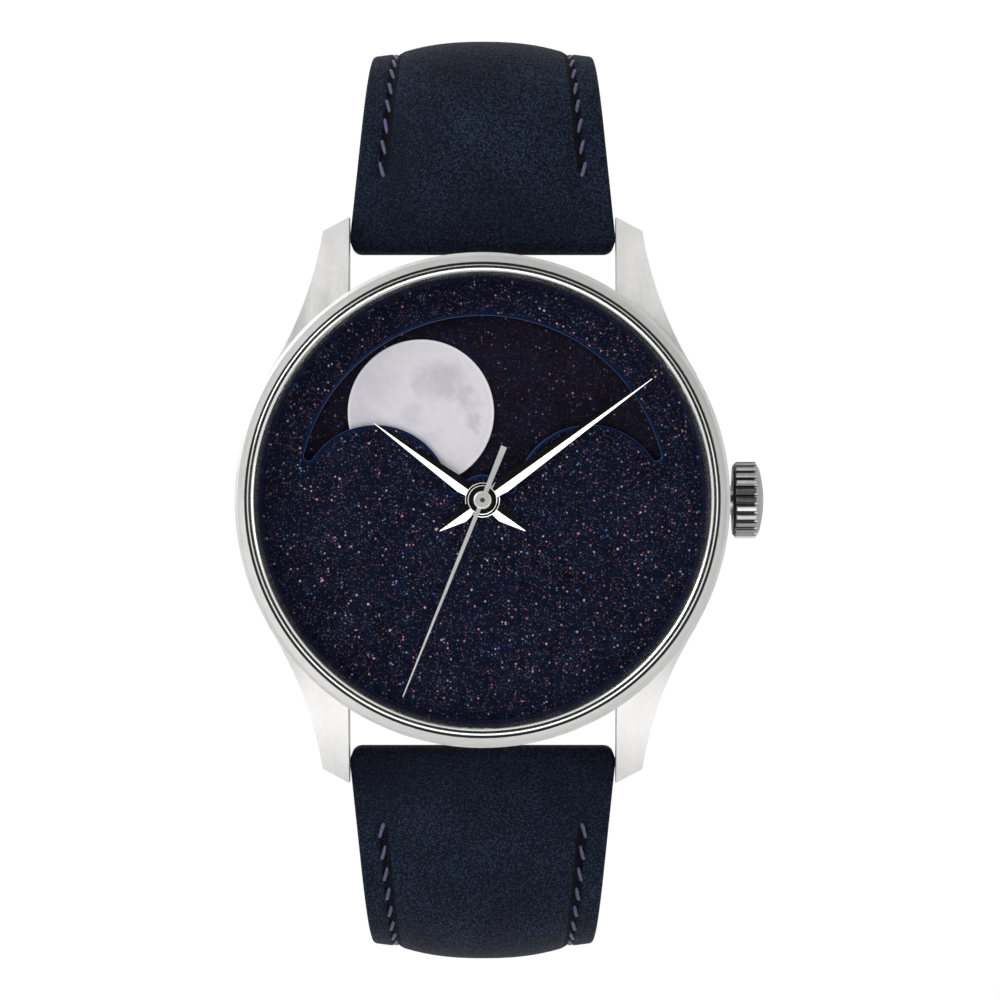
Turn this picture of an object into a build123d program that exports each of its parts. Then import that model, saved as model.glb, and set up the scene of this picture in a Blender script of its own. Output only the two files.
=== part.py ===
"""Moon phase wristwatch: steel case on a stitched leather strap with a pin buckle, open at the buckle.

Millimetres. +Z leaves the dial towards the eye, +Y runs to 12 o'clock and +X to the crown.
The origin is the centre of the case back, where the watch sits on the wrist.
"""

import os
from math import atan2, cos, degrees, pi, radians, sin, sqrt

from build123d import *

os.makedirs("parts", exist_ok=True)

# Case and glass
case_rim_height = 1.1
case_wall_height = 2.9
case_skirt_height = 1.9
back_flange_height = 1.9
bezel_recess_depth = 0.3
bezel_shoulder_height = 0.3
glass_edge_height = 1.2
glass_dome_height = 1.2
glass_proud = 0.15
glass_gap = 0.08
glass_gasket_thickness = 0.1
case_radius = 20.25
case_waist_radius = 19.55
case_foot_radius = 18.5
case_edge_chamfer = 0.25
cavity_radius = 17.2
back_flange_radius = 14.4
dial_seat_radius = 19.0
bezel_recess_radius = 19.48
overrun = 1.0
touch_gap = 0.02
seat_gap = 0.05

bezel_lip_radius = 18.53
bezel_outer_radius = 19.3
bezel_crest_radius = 18.95
bezel_lip_height = 0.35
bezel_ledge_thickness = 0.3
bezel_neck_bore_radius = 18.45
glass_hollow_height = 0.5
glass_edge_chamfer = 0.2
glass_seat_radius = 17.6
glass_dome_share = 0.2
glass_edge_slope_share = 0.12
flange_foot_radius = 17.95
flange_top_radius = 18.28
flange_back_radius = 18.38

# Case back
back_thickness = 1.5
back_spigot_height = 0.7
back_screw_end_gap = 0.1
back_radius = 18.3
back_spigot_bore_radius = 13.2
back_window_radius = 12.6
back_window_thickness = 1.0
window_edge_chamfer = 0.15
back_edge_chamfer = 0.35
back_gasket_section = 0.4
back_screw_circle = 16.3
back_gasket_radius = 14.9
back_screw_count = 6
back_screw_head_radius = 0.85
back_screw_head_height = 0.55
back_screw_radius = 0.42
screw_slot_width = 0.22
screw_slot_depth = 0.18

# Lugs and the spring bars between them
lug_root_drop = 0.45
lug_gap = 22.0
lug_tip_y = 23.35
lug_tip_width = 2.15
lug_shoulder_y = 22.15
lug_flank_x = 14.75
lug_flank_y = 15.8
lug_root_x = 17.5
lug_root_y = 10.3
lug_top_mid_z = 7.6
lug_top_tip_z = 4.5
lug_under_tip_z = 0.75
lug_mid_y = 18.2
lug_tip_round = 0.7
bar_y = 21.7
bar_z = 2.6
bar_radius = 0.75
bar_pin_radius = 0.4
bar_pin_reach = 0.9
bar_end_gap = 0.2
hole_clearance = 0.05

# Crown and stem
stem_radius = 0.4
stem_inner_x = 8.0
stem_end_gap = 0.3
stem_slot_gap = 0.1
stem_groove_x = 11.2
stem_groove_radius = 0.25
stem_groove_width = 0.5
crown_radius = 3.15
crown_gap = 0.3
crown_length = 2.55
crown_dome = 0.35
crown_chamfer = 0.35
crown_cap_radius = 2.55
crown_neck_length = 0.3
crown_flute_lift = 0.06
crown_skirt_radius = 1.75
crown_skirt_depth = 1.35
crown_post_radius = 0.72
crown_post_depth = 1.25
crown_flutes = 26
crown_flute_radius = 0.24
tube_radius = 1.2
tube_bore_radius = 0.8
tube_reach = 1.05
crown_seal_section = 0.28
clutch_radius = 0.68
clutch_length = 1.6
clutch_teeth = 14
clutch_tooth_radius = 0.12
clutch_inner_x = 8.9
lever_thickness = 0.2
lever_pin_radius = 0.18
lever_inner_x = 8.9
lever_outer_x = 11.6
lever_low_y = -0.3
lever_high_y = 2.0

# Dial, moon disc and moons
dial_foot_length = 2.9
moon_room = 0.2
dial_radius = 18.3
dial_thickness = 0.4
dial_bevel = 0.22
dial_foot_radius = 0.35
dial_foot_circle = 16.45
dial_foot_angles = (70.0, 250.0)
window_radius = 15.05
hump_radius = 6.12
hump_offset = 8.72
hub_cover_radius = 2.05
window_corner_radius = 0.42
valley_radius = 0.42
hands_hole_radius = 1.3
moon_radius = 5.97
moon_first_angle = 125.2
moon_thickness = 0.22
moon_round = 0.1
moon_disc_radius = 15.9
moon_disc_thickness = 0.2
moon_disc_bore_radius = 1.25

# Movement and its running gaps
rotor_gap = 0.2
ratchet_gap = 0.5
wheel_gap = 0.1
third_gap = 0.35
centre_gap = 0.2
plate_gap = 0.3
spring_gap = 0.15
balance_gap = 0.18
roller_gap = 0.08
motion_gap = 0.05
moon_wheel_clearance = 0.04
ring_gap = 0.1
movement_radius = 13.0
plate_thickness = 1.4
bridge_thickness = 0.5
bridge_wall = 0.9
bridge_eye_radius = 2.9
bridge_hub_radius = 2.6
barrel_bridge_span = (44.0, 205.0)
barrel_leg_spans = ((50.0, 70.0), (180.0, 200.0))
train_bridge_span = (207.0, 357.0)
train_leg_spans = ((210.0, 228.0), (318.0, 334.0))
screw_circle = 12.55
screw_radius = 0.22
screw_head_radius = 0.42
screw_head_height = 0.25
barrel_screw_angles = (60.0, 190.0)
train_screw_angles = (219.0, 326.0)
clamp_angles = (110.0, 290.0)
clamp_screw_circle = 14.2
clamp_screw_depth = 0.9
clamp_reach = 1.6
clamp_width = 1.5
clamp_thickness = 0.2
points_a_turn = 8
wheel_thickness = 0.2
pinion_thickness = 0.35
arbor_radius = 0.25
pivot_radius = 0.12
jewel_radius = 0.5
jewel_bore_radius = 0.15
jewel_thickness = 0.3
spoke_width = 0.35
rim_width = 0.5
spoke_count = 4
tooth_addendum_share = 0.85
tooth_dedendum_share = 1.15
tooth_root_share = 0.64
tooth_tip_share = 0.24

# Going train: teeth and modules
centre_teeth = 80
third_pinion_teeth = 10
third_teeth = 75
fourth_pinion_teeth = 10
fourth_teeth = 96
escape_pinion_teeth = 8
escape_teeth = 20
barrel_teeth = 80
centre_pinion_teeth = 10
centre_pinion_height = 0.3
third_distance = 6.0
fourth_module = 0.113
barrel_module = 0.135
third_angle = -110.0
escape_angle = -35.0
barrel_angle = 125.0
escape_radius = 2.1
barrel_drum_radius = 4.7
barrel_wall = 0.15
barrel_arbor_radius = 0.45
barrel_core_radius = 0.9
barrel_pivot_radius = 0.3
mainspring_turns = 7
mainspring_inner_radius = 1.0
mainspring_pitch = 0.46
mainspring_width = 0.18
barrel_drum_height = 0.8
balance_distance = 8.35
balance_angle = 18.9
fork_distance = 6.19
fork_angle = -8.6
fork_thickness = 0.2
fork_arm_width = 0.4
fork_horn_width = 0.9
fork_horn_length = 0.7
fork_notch_width = 0.34
fork_gap = 0.06
escape_disc_radius = 1.5
escape_tooth_share = 0.34
balance_radius = 3.4
balance_height = 0.3
balance_rim = 0.45
roller_radius = 0.75
pallet_gap = 0.06
pallet_half_angle = 38.0
stud_offset = 2.0
stud_radius = 0.2
impulse_pin_radius = 0.12
impulse_pin_offset = 0.6
spring_turns = 4
spring_inner_radius = 0.7
spring_pitch = 0.32
spring_width = 0.08
spring_height = 0.12
cock_width = 3.0
cock_foot_span = 20.0

# Motion work and moon train
cannon_teeth = 12
minute_wheel_teeth = 36
minute_pinion_teeth = 10
hour_wheel_teeth = 40
motion_module = 0.14
hour_mesh_teeth = minute_pinion_teeth + hour_wheel_teeth
hour_module = motion_module * (cannon_teeth + minute_wheel_teeth) / hour_mesh_teeth
minute_wheel_angle = 200.0
moon_first_teeth = 20
day_wheel_teeth = 40
day_pinion_teeth = 8
moon_wheel_teeth = 60
moon_pinion_teeth = 16
moon_ring_teeth = 126
first_module = 0.28
second_module = 0.1
ring_module = 0.2
day_wheel_angle = 60.0
moon_pinion_height = 0.22
window_mid_angle = 120.0
post_radius = 0.3
thin_post_radius = 0.18
ring_gear_width = 0.9
cannon_radius = 0.8
hour_pipe_radius = 1.15
hour_pipe_bore_radius = 0.85
centre_arbor_radius = 0.5
centre_arbor_bore_radius = 0.25
seconds_arbor_radius = 0.2

# Hands, set to nine minutes past ten
hand_gap = 0.12
hour_pipe_proud = 0.13
cannon_proud = 0.15
seconds_gap = 0.07
seconds_cap_gap = 0.2
hour_angle = 54.6
minute_angle = -54.4
seconds_angle = 158.0
hour_length = 10.8
minute_length = 17.0
seconds_length = 17.3
hand_tail = 4.3
hour_width = 1.15
minute_width = 1.2
tail_width = 0.75
hand_tip_width = 0.06
hand_edge = 0.07
hand_ridge = 0.2
hand_hub_radius = 1.2
hour_hub_radius = 1.42
hand_hub_height = 0.2
seconds_tail = 4.7
seconds_tail_width = 0.5
seconds_waist_width = 0.2
seconds_belly_width = 0.36
seconds_thickness = 0.1
seconds_hub_radius = 0.72
seconds_hub_height = 0.25

# Winding weight and ratchet
rotor_arm_thickness = 0.35
rotor_rim_height = 1.0
rotor_rim_inner_radius = 10.9
rotor_radius = 12.5
rotor_rim_span = 168.0
rotor_hub_radius = 2.4
rotor_hub_height = 0.75
bearing_shoulder_radius = 1.75
bearing_radius = 1.2
rotor_angle = -62.0
ratchet_teeth = 50
ratchet_module = 0.16
crown_wheel_teeth = 26
crown_wheel_angle = 12.0
crown_wheel_post_radius = 0.6
click_distance = 5.22
click_angle = 180.0
click_post_radius = 0.25
click_body_radius = 0.5
click_tip_radius = 4.2
click_tip_turn = 15.0

# Strap
strap_edge_gap = 0.05
strap_half_tail = 9.0
strap_taper_length = 28.0
strap_taper_power = 1.5
strap_end_radius = 1.42
strap_lug_thickness = 2.9
strap_pad_thickness = 4.1
strap_pad_at = 5.0
strap_tail_thickness = 2.3
strap_thin_at = 45.0
strap_thin_power_share = 1.2
strap_edge_share = 0.62
strap_end_edge_share = 0.96
lining_thickness = 0.85
glue_gap = 0.02
lining_start = 1.7
short_length = 75.0
long_length = 115.0
station_pitch = 2.9
tip_length = 9.0
tip_half_width = 1.6
tip_round_share = 2.0
tip_stop_shares = (0.95, 0.7, 0.45, 0.25, 0.1, 0.0)
bar_bore_clearance = 0.08
short_bend_shares = ((0.027, 0), (0.083, -14), (0.084, -29), (0.098, -42), (0.32, -3), (0.388, 0))
long_bend_shares = (
    (0.0176, 0),
    (0.0541, -14),
    (0.0548, -29),
    (0.0639, -42),
    (0.3096, -3),
    (0.5, -2),
)
strap_first_heading = -8.0
hole_count = 7
hole_pitch = 6.5
hole_from_tip = 30.0
hole_radius = 1.0

# Buckle and keepers
buckle_bar_radius = 0.7
buckle_bore_clearance = 0.08
buckle_end_radius = 1.2
buckle_inner_half = 9.3
buckle_leg_width = 1.6
buckle_length = 11.5
buckle_thickness = 1.5
buckle_cross_depth = 2.3
buckle_round = 2.2
buckle_edge = 0.3
buckle_heel = 1.3
tongue_width = 1.9
tongue_thickness = 1.1
tongue_sleeve_radius = 1.15
tongue_overhang = 0.9
tongue_notch_gap = 0.3
tongue_notch_radius = 2.0
keeper_width = 4.6
keeper_wall = 1.1
keeper_fixed_at = 67.0
keeper_free_at = 58.0
keeper_room = 2.7
keeper_gap = 0.15
keeper_side_gap = 0.3
# Radii that follow their neighbours
strap_half_end = lug_gap / 2 - strap_edge_gap
bezel_neck_radius = dial_seat_radius - seat_gap
glass_radius = bezel_lip_radius - touch_gap
ring_wall_radius = cavity_radius - ring_gap
tube_inner_x = cavity_radius
crown_inner_x = case_radius + crown_gap
crown_outer_x = crown_inner_x + crown_length
crown_post_inner_x = case_radius - crown_post_depth
tube_outer_x = case_radius + tube_reach
back_spigot_radius = back_flange_radius - seat_gap
moon_offset = hump_offset

# Levels, stacked from the case back up to the glass
rotor_z = back_window_thickness + rotor_gap
ratchet_z = rotor_z + rotor_arm_thickness + ratchet_gap
bridge_z = ratchet_z + wheel_thickness + wheel_gap
bridge_top_z = bridge_z + bridge_thickness
spring_z = bridge_top_z + spring_gap
balance_z = spring_z + spring_height + balance_gap
fourth_z = bridge_top_z + wheel_gap
third_z = fourth_z + wheel_thickness + third_gap
escape_z = third_z + wheel_thickness + wheel_gap
fork_z = escape_z
roller_z = fork_z + fork_thickness + roller_gap
centre_z = escape_z + wheel_thickness + centre_gap
centre_pinion_z = centre_z - centre_pinion_height
pinion_overhang = (pinion_thickness - wheel_thickness) / 2
escape_pinion_z = fourth_z - pinion_overhang
fourth_pinion_z = third_z - pinion_overhang
third_pinion_z = centre_z - pinion_overhang
barrel_drum_z = centre_pinion_z + wheel_thickness - barrel_drum_height
plate_z = centre_z + wheel_thickness + plate_gap
plate_top_z = plate_z + plate_thickness
stem_z = plate_z + plate_thickness / 2
cannon_z = plate_top_z + motion_gap
minute_wheel_z = cannon_z + motion_gap
hour_wheel_z = minute_wheel_z + wheel_thickness + wheel_gap
day_wheel_z = hour_wheel_z + wheel_thickness + wheel_gap
moon_wheel_z = day_wheel_z + wheel_thickness + moon_wheel_clearance
moon_pinion_z = moon_wheel_z + wheel_thickness
moon_disc_z = moon_pinion_z + moon_pinion_height + touch_gap
dial_seat_z = moon_disc_z + moon_disc_thickness + moon_thickness + moon_room
dial_z = dial_seat_z
hour_hand_z = dial_z + dial_thickness + hand_gap
hour_pipe_top_z = hour_hand_z + hand_hub_height + hour_pipe_proud
minute_hand_z = hour_pipe_top_z + wheel_gap
cannon_top_z = minute_hand_z + hand_hub_height + cannon_proud
seconds_hand_z = cannon_top_z + seconds_gap
seconds_top_z = seconds_hand_z + seconds_hub_height
glass_foot_z = seconds_top_z + glass_gap
glass_edge_z = glass_foot_z + glass_edge_height
glass_crown_z = glass_edge_z + glass_dome_height
bezel_shoulder_z = glass_foot_z + bezel_shoulder_height
bezel_top_z = glass_edge_z - glass_proud
flange_top_z = glass_foot_z - bezel_ledge_thickness - touch_gap
bezel_neck_foot_z = dial_seat_z + glass_gasket_thickness
case_top_z = dial_seat_z + case_rim_height
bezel_recess_z = case_top_z - bezel_recess_depth
case_shoulder_z = case_top_z - case_wall_height
case_waist_z = case_shoulder_z - case_skirt_height
lug_top_root_z = case_top_z - lug_root_drop
case_foot_z = back_thickness
back_flange_top_z = case_foot_z + back_flange_height
back_screw_top_z = back_flange_top_z - back_screw_end_gap
back_spigot_top_z = back_thickness + back_spigot_height
ring_foot_z = back_flange_top_z + ring_gap
ring_shelf_z = plate_top_z
dial_foot_z = dial_z - dial_foot_length


def save(piece, name):
    """Labels a finished piece and writes it as one STEP file."""
    piece.part.label = name
    export_step(piece.part, f"parts/{name}.step")


def polar(radius, angle):
    """A point of the dial plane at an angle in degrees, anticlockwise from +X."""
    return radius * cos(radians(angle)), radius * sin(radians(angle))


def circle_meet(first, first_radius, second, second_radius, side):
    """Where two circles of the dial plane cross, on the left (1) or right (-1) of first to second."""
    dx, dy = second[0] - first[0], second[1] - first[1]
    gap = sqrt(dx * dx + dy * dy)
    along = (gap * gap + first_radius**2 - second_radius**2) / (2 * gap)
    off = side * sqrt(first_radius**2 - along**2)
    return first[0] + (along * dx - off * dy) / gap, first[1] + (along * dy + off * dx) / gap


def toothed_outline(teeth, module, first_tooth, inward=False):
    """Corners of a ring of straight-flanked teeth, the first one at an angle in degrees."""
    pitch = 2 * pi / teeth
    pitch_radius = module * teeth / 2
    sign = -1 if inward else 1
    tip = pitch_radius + sign * tooth_addendum_share * module
    root = pitch_radius - sign * tooth_dedendum_share * module
    corners = []
    for tooth in range(teeth):
        middle = radians(first_tooth) + tooth * pitch
        for radius, share in (
            (root, -tooth_root_share),
            (tip, -tooth_tip_share),
            (tip, tooth_tip_share),
            (root, tooth_root_share),
        ):
            angle = middle + share * pitch / 2
            corners.append((radius * cos(angle), radius * sin(angle)))
    return corners


def toothed_wheel(place, z, teeth, module, thickness, first_tooth=0.0, spoked=True):
    """A wheel or pinion with its teeth, spoked like a watch wheel where it is large."""
    rim = module * teeth / 2 - tooth_dedendum_share * module - rim_width
    with BuildPart() as wheel:
        with BuildSketch(Plane((*place, z))):
            with BuildLine():
                Polyline(*toothed_outline(teeth, module, first_tooth), close=True)
            make_face()
            if spoked:
                Circle(rim, mode=Mode.SUBTRACT)
                Circle(rim_width + arbor_radius)
                with PolarLocations(rim / 2, spoke_count):
                    Rectangle(rim + rim_width, spoke_width)
        extrude(amount=thickness)
    return wheel.part


def arbor(place, foot, top, radius=arbor_radius):
    """A wheel's shaft with a finer pivot at each end."""
    with BuildPart() as shaft:
        with BuildSketch(Plane((*place, foot + jewel_thickness))):
            Circle(radius)
        extrude(amount=top - foot - 2 * jewel_thickness)
        with BuildSketch(Plane((*place, foot))):
            Circle(pivot_radius)
        extrude(amount=top - foot)
    return shaft.part


def mesh_angle(direction, teeth, driver_teeth, driver_first):
    """The first tooth's angle that sets a wheel's gap on its driver's tooth, seen along direction."""
    driver_phase = ((direction - driver_first) * driver_teeth / 360) % 1
    return direction + 180 + (driver_phase + 0.5) * 360 / teeth


# Places that the tooth counts set
centre_module = 2 * third_distance / (centre_teeth + third_pinion_teeth)
third_module = 2 * third_distance / (third_teeth + fourth_pinion_teeth)
centre_place = (0.0, 0.0)
third_place = polar(third_distance, third_angle)
escape_place = polar(fourth_module * (fourth_teeth + escape_pinion_teeth) / 2, escape_angle)
barrel_distance = barrel_module * (barrel_teeth + centre_pinion_teeth) / 2
barrel_place = polar(barrel_distance, barrel_angle)
minute_wheel_place = polar(motion_module * (cannon_teeth + minute_wheel_teeth) / 2, minute_wheel_angle)
day_wheel_distance = first_module * (moon_first_teeth + day_wheel_teeth) / 2
day_wheel_place = polar(day_wheel_distance, day_wheel_angle)
moon_wheel_distance = ring_module * (moon_ring_teeth - moon_pinion_teeth) / 2
moon_wheel_gap = second_module * (day_pinion_teeth + moon_wheel_teeth) / 2
moon_wheel_place = circle_meet(centre_place, moon_wheel_distance, day_wheel_place, moon_wheel_gap, 1)
crown_wheel_gap = ratchet_module * (ratchet_teeth + crown_wheel_teeth) / 2
crown_wheel_place = (
    barrel_place[0] + crown_wheel_gap * cos(radians(crown_wheel_angle)),
    barrel_place[1] + crown_wheel_gap * sin(radians(crown_wheel_angle)),
)
screw_angles = (*barrel_screw_angles, *train_screw_angles, balance_angle)
click_place = (
    barrel_place[0] + click_distance * cos(radians(click_angle)),
    barrel_place[1] + click_distance * sin(radians(click_angle)),
)


# Case middle: a turned band with four milled lugs, bored for the movement, tube and spring bars
with BuildPart() as lug_plan:
    with BuildSketch(Plane.XY):
        with BuildLine():
            inner_x = lug_gap / 2
            flank = ThreePointArc(
                (lug_root_x, lug_root_y), (lug_flank_x, lug_flank_y), (inner_x + lug_tip_width, lug_shoulder_y)
            )
            Polyline(flank @ 1, (inner_x, lug_tip_y), (inner_x, 0), (lug_root_x, 0), flank @ 0)
        make_face()
        mirror(about=Plane.YZ)
        mirror(about=Plane.XZ)
    extrude(amount=case_top_z)
with BuildPart() as lug_side:
    with BuildSketch(Plane.YZ):
        with BuildLine():
            top_line = Spline(
                (lug_root_y, lug_top_root_z), (lug_mid_y, lug_top_mid_z), (lug_tip_y, lug_top_tip_z)
            )
            Polyline(
                top_line @ 1,
                (lug_tip_y, lug_under_tip_z + lug_tip_round),
                (lug_tip_y - lug_tip_round, lug_under_tip_z),
                (cavity_radius, case_foot_z),
                (0, case_foot_z),
                (0, lug_top_root_z),
                top_line @ 0,
            )
        make_face()
        mirror(about=Plane.YZ)
    extrude(amount=case_radius, both=True)
lug_bars = lug_plan.part & lug_side.part

with BuildPart() as case_middle:
    with BuildSketch(Plane.XZ):
        with BuildLine():
            flank_line = Spline(
                (case_foot_radius, case_foot_z),
                (case_waist_radius, case_waist_z),
                (case_radius, case_shoulder_z),
            )
            Polyline(
                flank_line @ 1,
                (case_radius, case_top_z - case_edge_chamfer),
                (case_radius - case_edge_chamfer, case_top_z),
                (0, case_top_z),
                (0, case_foot_z),
                flank_line @ 0,
            )
        make_face()
    revolve(axis=Axis.Z)
    add(lug_bars)
    for bore_z, bore_radius in (
        (case_foot_z, back_flange_radius),
        (back_flange_top_z, cavity_radius),
        (dial_seat_z, dial_seat_radius),
        (bezel_recess_z, bezel_recess_radius),
    ):
        with BuildSketch(Plane.XY.offset(bore_z)):
            Circle(bore_radius)
        extrude(amount=case_top_z, mode=Mode.SUBTRACT)
    with BuildSketch(Plane.YZ.offset(back_spigot_radius)):
        with Locations((0, stem_z)):
            Circle(tube_radius)
    extrude(amount=case_radius, mode=Mode.SUBTRACT)
    with BuildSketch(Plane.YZ):
        with Locations((bar_y, bar_z), (-bar_y, bar_z)):
            Circle(bar_pin_radius + hole_clearance)
    extrude(amount=lug_gap / 2 + bar_pin_reach + hole_clearance, both=True, mode=Mode.SUBTRACT)
    with BuildSketch(Plane.XY.offset(case_foot_z)):
        with PolarLocations(back_screw_circle, back_screw_count):
            Circle(back_screw_radius)
    extrude(amount=back_screw_top_z - case_foot_z, mode=Mode.SUBTRACT)
    with BuildSketch(Plane.XY.offset(case_foot_z)):
        Circle(back_gasket_radius + back_gasket_section / 2)
        Circle(back_gasket_radius - back_gasket_section / 2, mode=Mode.SUBTRACT)
    extrude(amount=back_gasket_section, mode=Mode.SUBTRACT)
save(case_middle, "case_middle")

# Bezel: a polished ring pressed into the case, holding the glass in its bore
with BuildPart() as bezel:
    with BuildSketch(Plane.XZ):
        with BuildLine():
            crest = ThreePointArc(
                (bezel_outer_radius, bezel_shoulder_z),
                (bezel_crest_radius, bezel_top_z),
                (bezel_lip_radius, bezel_top_z - bezel_lip_height),
            )
            Polyline(
                crest @ 1,
                (bezel_lip_radius, glass_foot_z),
                (flange_top_radius, glass_foot_z),
                (flange_top_radius, glass_foot_z - bezel_ledge_thickness),
                (bezel_neck_bore_radius, glass_foot_z - bezel_ledge_thickness),
                (bezel_neck_bore_radius, bezel_neck_foot_z),
                (bezel_neck_radius, bezel_neck_foot_z),
                (bezel_neck_radius, bezel_recess_z + touch_gap),
                (bezel_outer_radius, bezel_recess_z + touch_gap),
                crest @ 0,
            )
        make_face()
    revolve(axis=Axis.Z)
save(bezel, "bezel")

# Glass: a low dome, hollow below so that the hands clear it
with BuildPart() as crystal:
    with BuildSketch(Plane.XZ):
        with BuildLine():
            dome = Spline(
                (0, glass_crown_z),
                (glass_radius / 2, glass_crown_z - (glass_crown_z - glass_edge_z) * glass_dome_share),
                (glass_radius - glass_edge_chamfer, glass_edge_z),
                tangents=((1, 0), (1, -glass_edge_slope_share)),
            )
            hollow = Spline(
                (glass_seat_radius, glass_foot_z + touch_gap),
                (0, glass_foot_z + glass_hollow_height),
                tangents=((-1, glass_edge_slope_share), (-1, 0)),
            )
            Polyline(
                dome @ 1,
                (glass_radius, glass_edge_z - glass_edge_chamfer),
                (glass_radius, glass_foot_z + touch_gap),
                hollow @ 0,
            )
            Line(hollow @ 1, dome @ 0)
        make_face()
    revolve(axis=Axis.Z)
save(crystal, "crystal")


def flat_ring(z, inner, outer, thickness):
    """A plain ring around the watch's axis."""
    with BuildPart(mode=Mode.PRIVATE) as ring:
        with BuildSketch(Plane.XY.offset(z)):
            Circle(outer)
            Circle(inner, mode=Mode.SUBTRACT)
        extrude(amount=thickness)
    return ring.part


# Gasket under the bezel, between its neck and the case
with BuildPart() as crystal_gasket:
    add(flat_ring(dial_seat_z, bezel_neck_bore_radius, bezel_neck_radius, bezel_neck_foot_z - dial_seat_z))
save(crystal_gasket, "crystal_gasket")

# Flange: the sloping ring from the dial's rim up to the glass
with BuildPart() as dial_flange:
    with BuildSketch(Plane.XZ):
        with BuildLine():
            Polyline(
                (flange_foot_radius, dial_z + dial_thickness),
                (flange_back_radius, dial_z + dial_thickness),
                (flange_back_radius, flange_top_z),
                (flange_top_radius, flange_top_z),
                close=True,
            )
        make_face()
    revolve(axis=Axis.Z)
save(dial_flange, "dial_flange")

# Case back: a screwed ring with a window over the winding weight
with BuildPart() as case_back:
    with BuildSketch(Plane.XZ):
        with BuildLine():
            Polyline(
                (back_window_radius, 0),
                (back_radius - back_edge_chamfer, 0),
                (back_radius, back_edge_chamfer),
                (back_radius, back_thickness),
                (back_spigot_radius, back_thickness),
                (back_spigot_radius, back_spigot_top_z),
                (back_spigot_bore_radius, back_spigot_top_z),
                (back_spigot_bore_radius, back_window_thickness),
                (back_window_radius, back_window_thickness),
                close=True,
            )
        make_face()
    revolve(axis=Axis.Z)
    with BuildSketch(Plane.XY):
        with PolarLocations(back_screw_circle, back_screw_count):
            Circle(back_screw_head_radius + touch_gap)
    extrude(amount=back_screw_head_height, mode=Mode.SUBTRACT)
    with BuildSketch(Plane.XY):
        with PolarLocations(back_screw_circle, back_screw_count):
            Circle(back_screw_radius + hole_clearance)
    extrude(amount=back_thickness, mode=Mode.SUBTRACT)
save(case_back, "case_back")

with BuildPart() as case_back_window:
    with BuildSketch(Plane.XY):
        Circle(back_window_radius)
    extrude(amount=back_window_thickness)
    chamfer(case_back_window.edges().group_by(Axis.Z)[0], length=window_edge_chamfer)
save(case_back_window, "case_back_window")

with BuildPart() as case_back_gasket:
    add(
        flat_ring(
            case_foot_z,
            back_gasket_radius - back_gasket_section / 2,
            back_gasket_radius + back_gasket_section / 2,
            back_gasket_section,
        )
    )
save(case_back_gasket, "case_back_gasket")


def slotted_screw(place, head_z, head_radius, head_height, radius, tip_z, facing=1):
    """A screw from head_z to tip_z, its slot cut in the head; facing is 1 where it points up."""
    with BuildPart(mode=Mode.PRIVATE) as screw:
        with BuildSketch(Plane((*place, head_z))):
            Circle(head_radius)
        extrude(amount=facing * head_height)
        with BuildSketch(Plane((*place, head_z))):
            Circle(radius)
        extrude(amount=tip_z - head_z)
        with BuildSketch(Plane((*place, head_z))):
            Rectangle(2 * head_radius, screw_slot_width)
        extrude(amount=facing * screw_slot_depth, mode=Mode.SUBTRACT)
    return screw.part


with BuildPart() as case_back_screws:
    for index in range(back_screw_count):
        add(
            slotted_screw(
                polar(back_screw_circle, index * 360 / back_screw_count),
                0,
                back_screw_head_radius,
                back_screw_head_height,
                back_screw_radius,
                back_screw_top_z,
            )
        )
save(case_back_screws, "case_back_screws")

# Crown tube, seal and crown; the stem's axis is parallel to X at stem_z
with BuildPart() as crown_tube:
    with BuildSketch(Plane.YZ.offset(tube_inner_x)):
        with Locations((0, stem_z)):
            Circle(tube_radius)
            Circle(tube_bore_radius, mode=Mode.SUBTRACT)
    extrude(amount=tube_outer_x - tube_inner_x)
save(crown_tube, "crown_tube")

with BuildPart() as crown_seal:
    with BuildSketch(Plane.YZ.offset(crown_inner_x + crown_seal_section)):
        with Locations((0, stem_z)):
            Circle(crown_skirt_radius)
            Circle(tube_radius + hole_clearance, mode=Mode.SUBTRACT)
    extrude(amount=crown_seal_section)
save(crown_seal, "crown_seal")

with BuildPart() as crown:
    with BuildSketch(Plane.XZ):
        with BuildLine():
            cap = ThreePointArc(
                (crown_outer_x, stem_z),
                (crown_outer_x - crown_dome / 4, stem_z + crown_cap_radius / 2),
                (crown_outer_x - crown_dome, stem_z + crown_cap_radius),
            )
            Polyline(
                cap @ 1,
                (crown_outer_x - crown_dome - crown_chamfer, stem_z + crown_radius),
                (crown_inner_x + crown_neck_length, stem_z + crown_radius),
                (crown_inner_x, stem_z + crown_radius - crown_chamfer),
                (crown_inner_x, stem_z + crown_skirt_radius),
                (crown_inner_x + crown_skirt_depth, stem_z + crown_skirt_radius),
                (crown_inner_x + crown_skirt_depth, stem_z + crown_post_radius),
                (crown_post_inner_x, stem_z + crown_post_radius),
                (crown_post_inner_x, stem_z),
                cap @ 0,
            )
        make_face()
    revolve(axis=Axis((0, 0, stem_z), (1, 0, 0)))
    with BuildSketch(Plane.YZ.offset(crown_inner_x + crown_neck_length / 2)):
        with Locations((0, stem_z)):
            with PolarLocations(crown_radius + crown_flute_lift, crown_flutes):
                Circle(crown_flute_radius)
    extrude(amount=crown_length, mode=Mode.SUBTRACT)
save(crown, "crown")

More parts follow.
